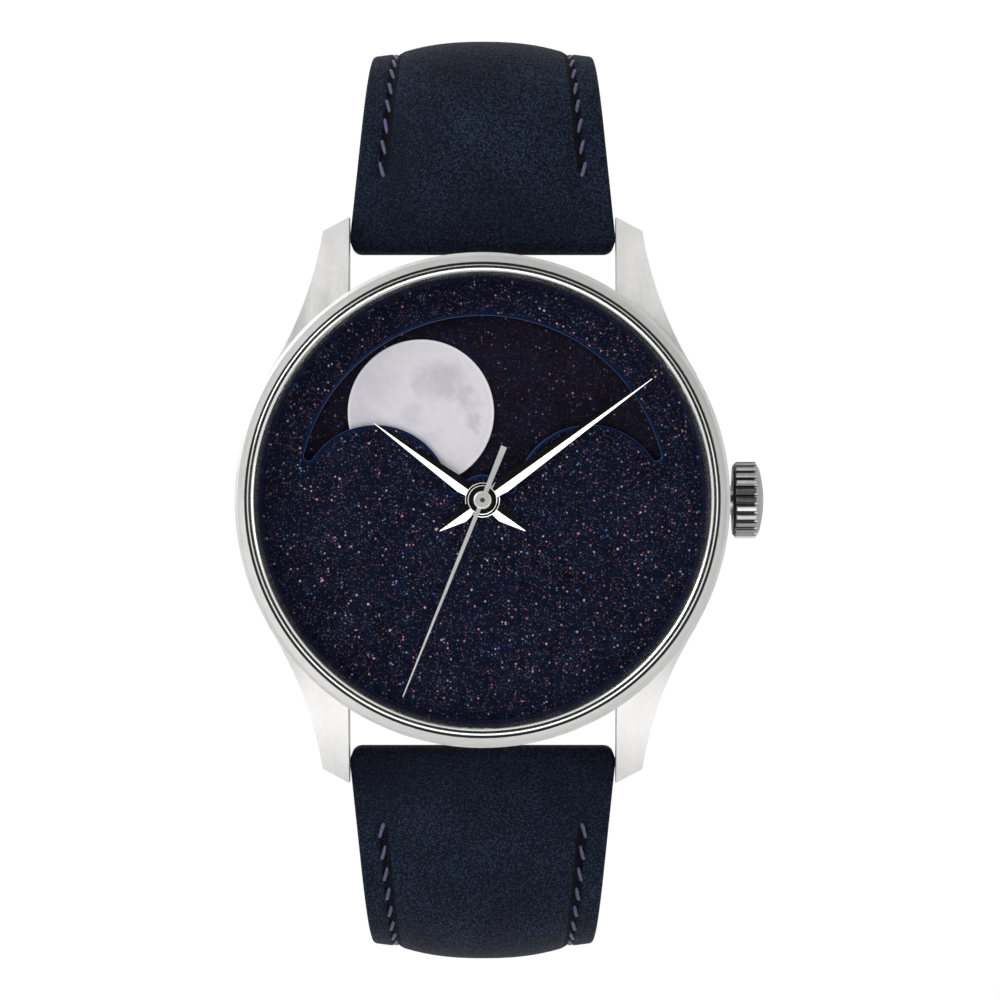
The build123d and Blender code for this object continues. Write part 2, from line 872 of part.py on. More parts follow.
# Winding stem with the groove that the setting lever's pin rides in
with BuildPart() as winding_stem:
    with BuildSketch(Plane.YZ.offset(stem_inner_x)):
        with Locations((0, stem_z)):
            Circle(stem_radius)
    extrude(amount=crown_post_inner_x - stem_inner_x)
    with BuildSketch(Plane.YZ.offset(stem_groove_x - stem_groove_width / 2)):
        with Locations((0, stem_z)):
            Circle(clutch_radius)
            Circle(stem_groove_radius, mode=Mode.SUBTRACT)
    extrude(amount=stem_groove_width, mode=Mode.SUBTRACT)
save(winding_stem, "winding_stem")

with BuildPart() as clutch_pinion:
    with BuildSketch(Plane.YZ.offset(clutch_inner_x)):
        with Locations((0, stem_z)):
            Circle(clutch_radius)
            with PolarLocations(clutch_radius, clutch_teeth):
                Circle(clutch_tooth_radius, mode=Mode.SUBTRACT)
            Circle(stem_radius, mode=Mode.SUBTRACT)
    extrude(amount=clutch_length)
save(clutch_pinion, "clutch_pinion")

with BuildPart() as setting_lever:
    with BuildSketch(Plane.XY.offset(plate_top_z + touch_gap)):
        with BuildLine():
            Polyline(
                (lever_inner_x, lever_low_y),
                (lever_outer_x, lever_low_y),
                (lever_outer_x, (lever_low_y + lever_high_y) / 2),
                (lever_inner_x + clutch_radius, lever_high_y),
                (lever_inner_x, lever_high_y),
                close=True,
            )
        make_face()
    extrude(amount=lever_thickness)
    with BuildSketch(Plane.XY.offset(plate_top_z + touch_gap)):
        with Locations((stem_groove_x, stem_groove_radius + touch_gap + lever_pin_radius)):
            Circle(lever_pin_radius)
    extrude(amount=stem_z - stem_groove_radius - plate_top_z)
save(setting_lever, "setting_lever")


# Dial: an aventurine plate with the moon window cut through and bevelled
def corner_arc(centre, radius, first, second):
    """The rounded end of the window: an arc about centre between the directions of two points."""
    ends = []
    for point in (first, second):
        dx, dy = point[0] - centre[0], point[1] - centre[1]
        reach = sqrt(dx * dx + dy * dy)
        ends.append((dx / reach, dy / reach))
    mx, my = ends[0][0] + ends[1][0], ends[0][1] + ends[1][1]
    middle = sqrt(mx * mx + my * my)
    ends.insert(1, (mx / middle, my / middle))
    return [(centre[0] + radius * ux, centre[1] + radius * uy) for ux, uy in ends]


hump_place = (-hump_offset, 0.0)
end_place = circle_meet(
    centre_place, window_radius - window_corner_radius, hump_place, hump_radius + window_corner_radius, -1
)
valley_place = circle_meet(
    centre_place, hub_cover_radius + valley_radius, hump_place, hump_radius + valley_radius, -1
)
outward = (end_place[0] * window_radius, end_place[1] * window_radius)
end_points = corner_arc(end_place, window_corner_radius, outward, hump_place)
valley_points = corner_arc(valley_place, valley_radius, hump_place, centre_place)
with BuildPart() as dial:
    with BuildSketch(Plane.XY.offset(dial_z)):
        Circle(dial_radius)
        Circle(hands_hole_radius, mode=Mode.SUBTRACT)
    extrude(amount=dial_thickness)
    with BuildSketch(Plane.XY.offset(dial_z)) as window:
        with BuildLine():
            ThreePointArc((0, window_radius), polar(window_radius, window_mid_angle), end_points[0])
            ThreePointArc(*end_points)
            ThreePointArc(end_points[2], (-hump_offset, hump_radius), valley_points[0])
            ThreePointArc(*valley_points)
            ThreePointArc(valley_points[2], polar(hub_cover_radius, window_mid_angle), (0, hub_cover_radius))
            mirror(about=Plane.YZ)
        make_face()
    extrude(amount=dial_thickness, mode=Mode.SUBTRACT)
    top_edges = dial.faces().sort_by(Axis.Z)[-1].inner_wires()
    window_wire = max(top_edges, key=lambda wire: wire.length)
    chamfer(window_wire.edges(), length=dial_bevel)
    with BuildSketch(Plane.XY.offset(dial_foot_z)):
        for foot_angle in dial_foot_angles:
            with Locations(polar(dial_foot_circle, foot_angle)):
                Circle(dial_foot_radius)
    extrude(amount=dial_z - dial_foot_z)
save(dial, "dial")

# Moon disc with two moons, one behind the dial, and the toothed ring that turns them
with BuildPart() as moon_disc:
    add(flat_ring(moon_disc_z, moon_disc_bore_radius, moon_disc_radius, moon_disc_thickness))
save(moon_disc, "moon_disc")

with BuildPart() as moons:
    with BuildSketch(Plane.XY.offset(moon_disc_z + moon_disc_thickness)):
        for moon_side in (0, 180):
            with Locations(polar(moon_offset, moon_first_angle + moon_side)):
                Circle(moon_radius)
    extrude(amount=moon_thickness)
    fillet(moons.edges().group_by(Axis.Z)[-1], radius=moon_round)
save(moons, "moons")

# Motion work and moon train
moon_pinion_first = degrees(atan2(moon_wheel_place[1], moon_wheel_place[0]))
ring_first_tooth = moon_pinion_first + 180 / moon_ring_teeth
moon_ring_outer_radius = ring_module * moon_ring_teeth / 2 + ring_gear_width
with BuildPart() as moon_ring_gear:
    with BuildSketch(Plane.XY.offset(moon_pinion_z)):
        Circle(moon_ring_outer_radius)
        with BuildLine():
            ring_outline = toothed_outline(moon_ring_teeth, ring_module, ring_first_tooth, inward=True)
            Polyline(*ring_outline, close=True)
        make_face(mode=Mode.SUBTRACT)
    extrude(amount=moon_disc_z - moon_pinion_z)
save(moon_ring_gear, "moon_ring_gear")


def tube(foot, top, radius):
    """A solid cylinder on the watch's axis."""
    with BuildPart(mode=Mode.PRIVATE) as shaft:
        with BuildSketch(Plane.XY.offset(foot)):
            Circle(radius)
        extrude(amount=top - foot)
    return shaft.part


with BuildPart() as cannon_pinion:
    add(toothed_wheel(centre_place, cannon_z, cannon_teeth, motion_module, pinion_thickness, spoked=False))
    add(tube(cannon_z, cannon_top_z, cannon_radius))
    with BuildSketch(Plane.XY.offset(cannon_z)):
        Circle(centre_arbor_radius)
    extrude(amount=cannon_top_z - cannon_z, mode=Mode.SUBTRACT)
save(cannon_pinion, "cannon_pinion")

minute_wheel_first = mesh_angle(minute_wheel_angle, minute_wheel_teeth, cannon_teeth, 0)
minute_pinion_first = minute_wheel_angle
with BuildPart() as minute_wheel:
    add(
        toothed_wheel(
            minute_wheel_place,
            minute_wheel_z,
            minute_wheel_teeth,
            motion_module,
            wheel_thickness,
            minute_wheel_first,
        )
    )
    add(
        toothed_wheel(
            minute_wheel_place,
            minute_wheel_z + wheel_thickness,
            minute_pinion_teeth,
            hour_module,
            pinion_thickness,
            minute_pinion_first,
            spoked=False,
        )
    )
    with BuildSketch(Plane((*minute_wheel_place, minute_wheel_z))):
        Circle(post_radius + hole_clearance)
    extrude(amount=wheel_thickness + pinion_thickness, mode=Mode.SUBTRACT)
save(minute_wheel, "minute_wheel")

hour_wheel_first = mesh_angle(
    minute_wheel_angle + 180, hour_wheel_teeth, minute_pinion_teeth, minute_pinion_first
)
with BuildPart() as hour_wheel:
    add(
        toothed_wheel(
            centre_place, hour_wheel_z, hour_wheel_teeth, hour_module, wheel_thickness, hour_wheel_first
        )
    )
    add(toothed_wheel(centre_place, day_wheel_z, moon_first_teeth, first_module, wheel_thickness))
    add(tube(hour_wheel_z, hour_pipe_top_z, hour_pipe_radius))
    with BuildSketch(Plane.XY.offset(hour_wheel_z)):
        Circle(hour_pipe_bore_radius)
    extrude(amount=hour_pipe_top_z - hour_wheel_z, mode=Mode.SUBTRACT)
save(hour_wheel, "hour_wheel")

day_wheel_first = mesh_angle(day_wheel_angle, day_wheel_teeth, moon_first_teeth, 0)
with BuildPart() as day_wheel:
    add(
        toothed_wheel(
            day_wheel_place, day_wheel_z, day_wheel_teeth, first_module, wheel_thickness, day_wheel_first
        )
    )
    add(
        toothed_wheel(
            day_wheel_place,
            day_wheel_z + wheel_thickness,
            day_pinion_teeth,
            second_module,
            pinion_thickness,
            spoked=False,
        )
    )
    with BuildSketch(Plane((*day_wheel_place, day_wheel_z))):
        Circle(thin_post_radius + hole_clearance)
    extrude(amount=wheel_thickness + pinion_thickness, mode=Mode.SUBTRACT)
save(day_wheel, "day_wheel")

moon_wheel_direction = degrees(
    atan2(moon_wheel_place[1] - day_wheel_place[1], moon_wheel_place[0] - day_wheel_place[0])
)
moon_wheel_first = mesh_angle(moon_wheel_direction, moon_wheel_teeth, day_pinion_teeth, 0)
with BuildPart() as moon_wheel:
    add(
        toothed_wheel(
            moon_wheel_place,
            moon_wheel_z,
            moon_wheel_teeth,
            second_module,
            wheel_thickness,
            moon_wheel_first,
        )
    )
    add(
        toothed_wheel(
            moon_wheel_place,
            moon_pinion_z,
            moon_pinion_teeth,
            ring_module,
            moon_pinion_height,
            moon_pinion_first,
            spoked=False,
        )
    )
    with BuildSketch(Plane((*moon_wheel_place, moon_wheel_z))):
        Circle(post_radius + hole_clearance)
    extrude(amount=moon_disc_z - moon_wheel_z, mode=Mode.SUBTRACT)
save(moon_wheel, "moon_wheel")


# Hands: faceted lances on round hubs, and a fine seconds hand with a flared tail
def lance_hand(place_z, angle, length, width, hub_radius, bore_radius):
    """A hand whose two facets meet in a ridge along its middle, turned to an angle from +X."""
    along = Plane((0, 0, place_z), x_dir=(cos(radians(angle)), sin(radians(angle)), 0), z_dir=(0, 0, 1))
    with BuildPart(mode=Mode.PRIVATE) as hand:
        with BuildSketch(along):
            with BuildLine():
                Polyline(
                    (-hand_tail, -tail_width / 2),
                    (-hand_tail, tail_width / 2),
                    (0, width / 2),
                    (length, hand_tip_width / 2),
                    (length, -hand_tip_width / 2),
                    (0, -width / 2),
                    close=True,
                )
            make_face()
        extrude(amount=hand_ridge)
        for side in (1, -1):
            with BuildSketch(Plane(along.origin, x_dir=along.y_dir * side, z_dir=along.x_dir)):
                with BuildLine():
                    if side == 1:
                        Polyline((0, hand_ridge), (width, hand_ridge), (width, hand_edge), close=True)
                    else:
                        Polyline((0, -hand_ridge), (width, -hand_ridge), (width, -hand_edge), close=True)
                make_face()
            extrude(amount=length + hand_tail, both=True, mode=Mode.SUBTRACT)
        with BuildSketch(Plane.XY.offset(place_z)):
            Circle(hub_radius)
        extrude(amount=hand_hub_height)
        with BuildSketch(Plane.XY.offset(place_z)):
            Circle(bore_radius)
        extrude(amount=hand_ridge + hand_hub_height, mode=Mode.SUBTRACT)
    return hand.part


with BuildPart() as hour_hand:
    hour_line = 90 + hour_angle
    add(lance_hand(hour_hand_z, hour_line, hour_length, hour_width, hour_hub_radius, hour_pipe_radius))
save(hour_hand, "hour_hand")

with BuildPart() as minute_hand:
    minute_line = 90 + minute_angle
    add(lance_hand(minute_hand_z, minute_line, minute_length, minute_width, hand_hub_radius, cannon_radius))
save(minute_hand, "minute_hand")

seconds_line = Plane(
    (0, 0, seconds_hand_z),
    x_dir=(cos(radians(90 + seconds_angle)), sin(radians(90 + seconds_angle)), 0),
    z_dir=(0, 0, 1),
)
with BuildPart() as seconds_hand:
    with BuildSketch(seconds_line):
        with BuildLine():
            Polyline(
                (-seconds_tail, 0),
                (-seconds_tail, seconds_tail_width / 2),
                (0, seconds_belly_width / 2),
                (seconds_length, seconds_waist_width / 4),
                (seconds_length, 0),
            )
            mirror(about=Plane.XZ)
        make_face()
    extrude(amount=seconds_thickness)
    with BuildSketch(Plane.XY.offset(seconds_hand_z)):
        Circle(seconds_hub_radius)
    extrude(amount=seconds_hub_height)
    fillet(seconds_hand.edges().group_by(Axis.Z)[-1], radius=seconds_thickness)
    with BuildSketch(Plane.XY.offset(seconds_hand_z)):
        Circle(seconds_arbor_radius)
    extrude(amount=seconds_hub_height, mode=Mode.SUBTRACT)
save(seconds_hand, "seconds_hand")


# Movement: plate, bridges and the going train between them
def sector(inner, outer, start, end):
    """A flat piece of ring between two angles, as a sketch at the origin."""
    middle = (start + end) / 2
    with BuildSketch(mode=Mode.PRIVATE) as face:
        with BuildLine():
            ThreePointArc(polar(outer, start), polar(outer, middle), polar(outer, end))
            Line(polar(outer, end), polar(inner, end))
            ThreePointArc(polar(inner, end), polar(inner, middle), polar(inner, start))
            Line(polar(inner, start), polar(outer, start))
        make_face()
    return face.sketch


def raised_sector(z, thickness, inner, outer, start, end):
    """The same piece of ring as a solid."""
    with BuildPart(mode=Mode.PRIVATE) as piece:
        with BuildSketch(Plane.XY.offset(z)):
            add(sector(inner, outer, start, end))
        extrude(amount=thickness)
    return piece.part


balance_place = polar(balance_distance, balance_angle)
fork_place = polar(fork_distance, fork_angle)
train_places = (third_place, escape_place, fork_place)
foot_z = bridge_top_z - jewel_thickness
head_z = plate_z + jewel_thickness

with BuildPart() as mainplate:
    with BuildSketch(Plane.XY.offset(plate_z)):
        Circle(movement_radius)
        Circle(centre_arbor_radius + hole_clearance, mode=Mode.SUBTRACT)
    extrude(amount=plate_thickness)
    with BuildSketch(Plane.XY.offset(plate_z)):
        for place in (*train_places, balance_place):
            with Locations(place):
                Circle(jewel_radius)
        with Locations(barrel_place):
            Circle(barrel_pivot_radius + hole_clearance)
    extrude(amount=jewel_thickness, mode=Mode.SUBTRACT)
    with BuildSketch(Plane.XY.offset(plate_z)):
        slot_start = stem_inner_x - stem_end_gap
        slot_end = movement_radius + overrun
        with Locations(((slot_start + slot_end) / 2, 0)):
            Rectangle(slot_end - slot_start, 2 * (clutch_radius + stem_slot_gap))
        with Locations(*(polar(screw_circle, angle) for angle in screw_angles)):
            Circle(screw_radius)
    extrude(amount=plate_thickness, mode=Mode.SUBTRACT)
    for place, radius, top in (
        (minute_wheel_place, post_radius, minute_wheel_z + wheel_thickness + pinion_thickness),
        (day_wheel_place, thin_post_radius, day_wheel_z + wheel_thickness + pinion_thickness),
        (moon_wheel_place, post_radius, moon_disc_z - touch_gap),
    ):
        with BuildSketch(Plane((*place, plate_top_z - overrun / 2))):
            Circle(radius)
        extrude(amount=top - plate_top_z + overrun / 2)
save(mainplate, "mainplate")

with BuildPart() as movement_ring:
    add(flat_ring(ring_foot_z, movement_radius + seat_gap, ring_wall_radius, ring_shelf_z - ring_foot_z))
    with BuildSketch(Plane.YZ.offset(movement_radius)):
        with Locations((0, stem_z)):
            Circle(stem_radius + seat_gap)
    extrude(amount=ring_wall_radius, mode=Mode.SUBTRACT)
    with BuildSketch(Plane.XY.offset(dial_foot_z - seat_gap)):
        for foot_angle in dial_foot_angles:
            with Locations(polar(dial_foot_circle, foot_angle)):
                Circle(dial_foot_radius + seat_gap)
    extrude(amount=ring_shelf_z, mode=Mode.SUBTRACT)
    with BuildSketch(Plane.XY.offset(ring_shelf_z - clamp_screw_depth)):
        with Locations(*(polar(clamp_screw_circle, angle) for angle in clamp_angles)):
            Circle(screw_radius)
    extrude(amount=clamp_screw_depth, mode=Mode.SUBTRACT)
save(movement_ring, "movement_ring")

with BuildPart() as casing_clamps:
    for angle in clamp_angles:
        along = Plane(
            (*polar(clamp_screw_circle, angle), plate_top_z),
            x_dir=(cos(radians(angle)), sin(radians(angle)), 0),
            z_dir=(0, 0, 1),
        )
        with BuildSketch(along):
            with Locations((-clamp_reach / 2, 0)):
                Rectangle(clamp_reach + clamp_width, clamp_width)
            Circle(screw_radius + seat_gap, mode=Mode.SUBTRACT)
        extrude(amount=clamp_thickness)
save(casing_clamps, "casing_clamps")

with BuildPart() as barrel_bridge:
    add(raised_sector(bridge_z, bridge_thickness, bridge_eye_radius, movement_radius, *barrel_bridge_span))
    for leg_span in barrel_leg_spans:
        add(
            raised_sector(
                bridge_top_z,
                plate_z - bridge_top_z,
                movement_radius - bridge_wall,
                movement_radius,
                *leg_span,
            )
        )
    with BuildSketch(Plane.XY.offset(bridge_z)):
        with Locations(barrel_place):
            Circle(barrel_arbor_radius + hole_clearance)
        with Locations(*(polar(screw_circle, angle) for angle in barrel_screw_angles)):
            Circle(screw_radius)
    extrude(amount=plate_z - bridge_z, mode=Mode.SUBTRACT)
    with BuildSketch(Plane.XY.offset(bridge_z)):
        with Locations(*(polar(screw_circle, angle) for angle in barrel_screw_angles)):
            Circle(screw_head_radius)
    extrude(amount=screw_head_height, mode=Mode.SUBTRACT)
    for place, radius in ((click_place, click_post_radius), (crown_wheel_place, crown_wheel_post_radius)):
        with BuildSketch(Plane((*place, bridge_z))):
            Circle(radius)
        extrude(amount=ratchet_z - bridge_z)
save(barrel_bridge, "barrel_bridge")

with BuildPart() as train_bridge:
    hub_reach = bridge_hub_radius - bridge_wall
    add(raised_sector(bridge_z, bridge_thickness, hub_reach, movement_radius, *train_bridge_span))
    add(flat_ring(bridge_z, pivot_radius + hole_clearance, bridge_hub_radius, bridge_thickness))
    for leg_span in train_leg_spans:
        add(
            raised_sector(
                bridge_top_z,
                plate_z - bridge_top_z,
                movement_radius - bridge_wall,
                movement_radius,
                *leg_span,
            )
        )
    with BuildSketch(Plane.XY.offset(bridge_z)):
        with Locations(balance_place):
            Circle(balance_radius)
    extrude(amount=bridge_thickness, mode=Mode.SUBTRACT)
    with BuildSketch(Plane.XY.offset(bridge_z)):
        with Locations(*train_places):
            Circle(jewel_radius)
        with Locations(*(polar(screw_circle, angle) for angle in train_screw_angles)):
            Circle(screw_radius)
    extrude(amount=plate_z - bridge_z, mode=Mode.SUBTRACT)
    with BuildSketch(Plane.XY.offset(bridge_z)):
        with Locations(*(polar(screw_circle, angle) for angle in train_screw_angles)):
            Circle(screw_head_radius)
    extrude(amount=screw_head_height, mode=Mode.SUBTRACT)
save(train_bridge, "train_bridge")

cock_line = Plane((0, 0, bridge_z), x_dir=(*polar(1, balance_angle), 0), z_dir=(0, 0, 1))
with BuildPart() as balance_cock:
    with BuildSketch(cock_line):
        with Locations(((balance_distance + movement_radius) / 2 - bridge_wall / 2, 0)):
            Rectangle(movement_radius - balance_distance, cock_width)
        with Locations((balance_distance, 0)):
            Circle(cock_width / 2)
            Circle(jewel_radius, mode=Mode.SUBTRACT)
    extrude(amount=bridge_thickness)
    add(
        raised_sector(
            bridge_z,
            plate_z - bridge_z,
            movement_radius - bridge_wall,
            movement_radius,
            balance_angle - cock_foot_span / 2,
            balance_angle + cock_foot_span / 2,
        )
    )
    with BuildSketch(Plane.XY.offset(bridge_z)):
        with Locations(polar(screw_circle, balance_angle)):
            Circle(screw_radius)
    extrude(amount=plate_z - bridge_z, mode=Mode.SUBTRACT)
    with BuildSketch(Plane.XY.offset(bridge_z)):
        with Locations(polar(screw_circle, balance_angle)):
            Circle(screw_head_radius)
    extrude(amount=screw_head_height, mode=Mode.SUBTRACT)
    with BuildSketch(Plane((*polar(balance_distance + stud_offset, balance_angle), bridge_top_z))):
        Circle(stud_radius)
    extrude(amount=spring_z - bridge_top_z)
save(balance_cock, "balance_cock")

with BuildPart() as movement_screws:
    for angle in screw_angles:
        add(
            slotted_screw(
                polar(screw_circle, angle),
                bridge_z,
                screw_head_radius,
                screw_head_height,
                screw_radius,
                plate_top_z,
            )
        )
    for angle in clamp_angles:
        add(
            slotted_screw(
                polar(clamp_screw_circle, angle),
                plate_top_z + clamp_thickness + screw_head_height,
                screw_head_radius,
                screw_head_height,
                screw_radius,
                ring_shelf_z - clamp_screw_depth,
                facing=-1,
            )
        )
save(movement_screws, "movement_screws")

with BuildPart() as jewels:
    for jewel_z in (foot_z, plate_z):
        with BuildSketch(Plane.XY.offset(jewel_z)):
            for place in (*train_places, balance_place):
                with Locations(place):
                    Circle(jewel_radius)
                    Circle(jewel_bore_radius, mode=Mode.SUBTRACT)
        extrude(amount=jewel_thickness)
save(jewels, "jewels")


def spiral_strip(place, z, inner, pitch, turns, width, height):
    """A flat coiled spring, from its inner end outwards."""
    edges = []
    for half in (-width / 2, width / 2):
        edges.append(
            [
                polar(inner + half + pitch * step / points_a_turn, step * 360 / points_a_turn)
                for step in range(turns * points_a_turn + 1)
            ]
        )
    with BuildPart(mode=Mode.PRIVATE) as coil:
        with BuildSketch(Plane((*place, z))):
            with BuildLine():
                inside = Spline(*edges[0])
                outside = Spline(*edges[1])
                Line(inside @ 0, outside @ 0)
                Line(inside @ 1, outside @ 1)
            make_face()
        extrude(amount=height)
    return coil.part


# Barrel: a toothed drum around the mainspring, turning on the barrel arbor
with BuildPart() as mainspring_barrel:
    add(
        toothed_wheel(
            barrel_place,
            centre_pinion_z,
            barrel_teeth,
            barrel_module,
            wheel_thickness,
            mesh_angle(barrel_angle, barrel_teeth, centre_pinion_teeth, 0),
            spoked=False,
        )
    )
    with BuildSketch(Plane((*barrel_place, barrel_drum_z))):
        Circle(barrel_drum_radius)
    extrude(amount=barrel_drum_height)
    with BuildSketch(Plane((*barrel_place, barrel_drum_z + barrel_wall))):
        Circle(barrel_drum_radius - barrel_wall)
    extrude(amount=barrel_drum_height - 2 * barrel_wall, mode=Mode.SUBTRACT)
    with BuildSketch(Plane((*barrel_place, barrel_drum_z))):
        Circle(barrel_arbor_radius + hole_clearance)
    extrude(amount=barrel_drum_height, mode=Mode.SUBTRACT)
save(mainspring_barrel, "mainspring_barrel")

with BuildPart() as mainspring:
    add(
        spiral_strip(
            barrel_place,
            barrel_drum_z + barrel_wall + touch_gap,
            mainspring_inner_radius,
            mainspring_pitch,
            mainspring_turns,
            mainspring_width,
            barrel_drum_height - 2 * barrel_wall - 2 * touch_gap,
        )
    )
save(mainspring, "mainspring")

with BuildPart() as barrel_arbor:
    for foot, top, radius in (
        (ratchet_z, plate_z - touch_gap, barrel_arbor_radius),
        (
            barrel_drum_z + barrel_wall + touch_gap,
            barrel_drum_z + barrel_drum_height - barrel_wall - touch_gap,
            barrel_core_radius,
        ),
        (plate_z - overrun, head_z - touch_gap, barrel_pivot_radius),
    ):
        with BuildSketch(Plane((*barrel_place, foot))):
            Circle(radius)
        extrude(amount=top - foot)
save(barrel_arbor, "barrel_arbor")

centre_first = mesh_angle(third_angle + 180, centre_teeth, third_pinion_teeth, third_angle + 180)
with BuildPart() as centre_wheel:
    add(toothed_wheel(centre_place, centre_z, centre_teeth, centre_module, wheel_thickness, centre_first))
    add(
        toothed_wheel(
            centre_place,
            centre_pinion_z,
            centre_pinion_teeth,
            barrel_module,
            centre_pinion_height,
            spoked=False,
        )
    )
    add(tube(centre_pinion_z, cannon_top_z - seconds_cap_gap, centre_arbor_radius))
    with BuildSketch(Plane.XY.offset(centre_pinion_z)):
        Circle(centre_arbor_bore_radius)
    extrude(amount=cannon_top_z - centre_pinion_z, mode=Mode.SUBTRACT)
save(centre_wheel, "centre_wheel")

third_first = mesh_angle(third_angle, third_teeth, fourth_pinion_teeth, 0)
with BuildPart() as third_wheel:
    add(toothed_wheel(third_place, third_z, third_teeth, third_module, wheel_thickness, third_first))
    add(
        toothed_wheel(
            third_place,
            third_pinion_z,
            third_pinion_teeth,
            centre_module,
            pinion_thickness,
            third_angle + 180,
            spoked=False,
        )
    )
    add(arbor(third_place, foot_z + touch_gap, head_z - touch_gap))
save(third_wheel, "third_wheel")

with BuildPart() as fourth_wheel:
    add(toothed_wheel(centre_place, fourth_z, fourth_teeth, fourth_module, wheel_thickness))
    add(
        toothed_wheel(
            centre_place, fourth_pinion_z, fourth_pinion_teeth, third_module, pinion_thickness, spoked=False
        )
    )
    add(tube(bridge_top_z + touch_gap, seconds_top_z, seconds_arbor_radius))
    add(tube(foot_z, bridge_top_z + jewel_thickness, pivot_radius))
save(fourth_wheel, "fourth_wheel")

with BuildPart() as escape_wheel:
    with BuildSketch(Plane((*escape_place, escape_z))):
        Circle(escape_disc_radius)
        with BuildLine():
            corners = []
            for tooth in range(escape_teeth):
                for radius, share in ((escape_disc_radius, 0), (escape_radius, escape_tooth_share)):
                    corners.append(polar(radius, (tooth + share) * 360 / escape_teeth))
            Polyline(*corners, close=True)
        make_face()
        Circle(escape_disc_radius - rim_width, mode=Mode.SUBTRACT)
        Circle(rim_width)
        with PolarLocations(escape_disc_radius / 2, spoke_count):
            Rectangle(escape_disc_radius, spoke_width)
    extrude(amount=wheel_thickness)
    add(
        toothed_wheel(
            escape_place,
            escape_pinion_z,
            escape_pinion_teeth,
            fourth_module,
            pinion_thickness,
            mesh_angle(escape_angle, escape_pinion_teeth, fourth_teeth, 0),
            spoked=False,
        )
    )
    add(arbor(escape_place, foot_z + touch_gap, head_z - touch_gap))
save(escape_wheel, "escape_wheel")

# Pallet fork: two arms towards the escape wheel and a horned lever towards the balance
fork_to_escape = degrees(atan2(escape_place[1] - fork_place[1], escape_place[0] - fork_place[0]))
fork_to_balance = degrees(atan2(balance_place[1] - fork_place[1], balance_place[0] - fork_place[0]))
fork_escape_gap = sqrt((escape_place[0] - fork_place[0]) ** 2 + (escape_place[1] - fork_place[1]) ** 2)
fork_balance_gap = sqrt((balance_place[0] - fork_place[0]) ** 2 + (balance_place[1] - fork_place[1]) ** 2)
fork_reach = fork_balance_gap - impulse_pin_offset - impulse_pin_radius - fork_gap
pallet_circle = escape_radius + pallet_gap
with BuildPart() as pallet_fork:
    lever_line = Plane((*fork_place, fork_z), x_dir=(*polar(1, fork_to_balance), 0), z_dir=(0, 0, 1))
    with BuildSketch(lever_line):
        with Locations((fork_reach / 2, 0)):
            Rectangle(fork_reach, fork_arm_width)
        with Locations((fork_reach - fork_horn_length / 2, 0)):
            Rectangle(fork_horn_length, fork_horn_width)
        with Locations((fork_reach, 0)):
            Rectangle(fork_horn_length, fork_notch_width, mode=Mode.SUBTRACT)
        Circle(jewel_radius)
    extrude(amount=fork_thickness)
    pallet_line = Plane((*fork_place, fork_z), x_dir=(*polar(1, fork_to_escape), 0), z_dir=(0, 0, 1))
    with BuildSketch(pallet_line):
        for side in (1, -1):
            tip = (
                fork_escape_gap - pallet_circle * cos(radians(pallet_half_angle)),
                side * pallet_circle * sin(radians(pallet_half_angle)),
            )
            with BuildLine():
                Polyline(
                    (0, side * fork_arm_width),
                    (0, -side * fork_arm_width / 2),
                    (tip[0] - fork_arm_width, tip[1] - side * fork_arm_width / 2),
                    tip,
                    (tip[0] - fork_arm_width, tip[1] + side * fork_arm_width / 2),
                    close=True,
                )
            make_face()
    extrude(amount=fork_thickness)
    add(arbor(fork_place, foot_z + touch_gap, head_z - touch_gap))
save(pallet_fork, "pallet_fork")

with BuildPart() as balance_wheel:
    with BuildSketch(Plane((*balance_place, balance_z))):
        Circle(balance_radius)
        Circle(balance_radius - balance_rim, mode=Mode.SUBTRACT)
        Rectangle(2 * balance_radius - balance_rim, spoke_width)
        Circle(balance_rim)
    extrude(amount=balance_height)
    with BuildSketch(Plane((*balance_place, roller_z))):
        Circle(roller_radius)
    extrude(amount=wheel_thickness)
    with BuildSketch(
        Plane(
            (
                balance_place[0] - impulse_pin_offset * cos(radians(fork_to_balance)),
                balance_place[1] - impulse_pin_offset * sin(radians(fork_to_balance)),
                fork_z,
            )
        )
    ):
        Circle(impulse_pin_radius)
    extrude(amount=roller_z - fork_z)
    add(arbor(balance_place, foot_z + touch_gap, head_z - touch_gap))
save(balance_wheel, "balance_wheel")

with BuildPart() as hairspring:
    add(
        spiral_strip(
            balance_place,
            spring_z,
            spring_inner_radius,
            spring_pitch,
            spring_turns,
            spring_width,
            spring_height,
        )
    )
save(hairspring, "hairspring")

# Ratchet wheel, crown wheel and click under the barrel bridge
ratchet_first = crown_wheel_angle
with BuildPart() as ratchet_wheel:
    add(
        toothed_wheel(
            barrel_place, ratchet_z, ratchet_teeth, ratchet_module, wheel_thickness, ratchet_first
        )
    )
    with BuildSketch(Plane((*barrel_place, ratchet_z))):
        Circle(barrel_arbor_radius)
    extrude(amount=wheel_thickness, mode=Mode.SUBTRACT)
save(ratchet_wheel, "ratchet_wheel")

with BuildPart() as crown_wheel:
    add(
        toothed_wheel(
            crown_wheel_place,
            ratchet_z,
            crown_wheel_teeth,
            ratchet_module,
            wheel_thickness,
            mesh_angle(crown_wheel_angle, crown_wheel_teeth, ratchet_teeth, ratchet_first),
            spoked=False,
        )
    )
    with BuildSketch(Plane((*crown_wheel_place, ratchet_z))):
        Circle(crown_wheel_post_radius + hole_clearance)
    extrude(amount=wheel_thickness, mode=Mode.SUBTRACT)
save(crown_wheel, "crown_wheel")

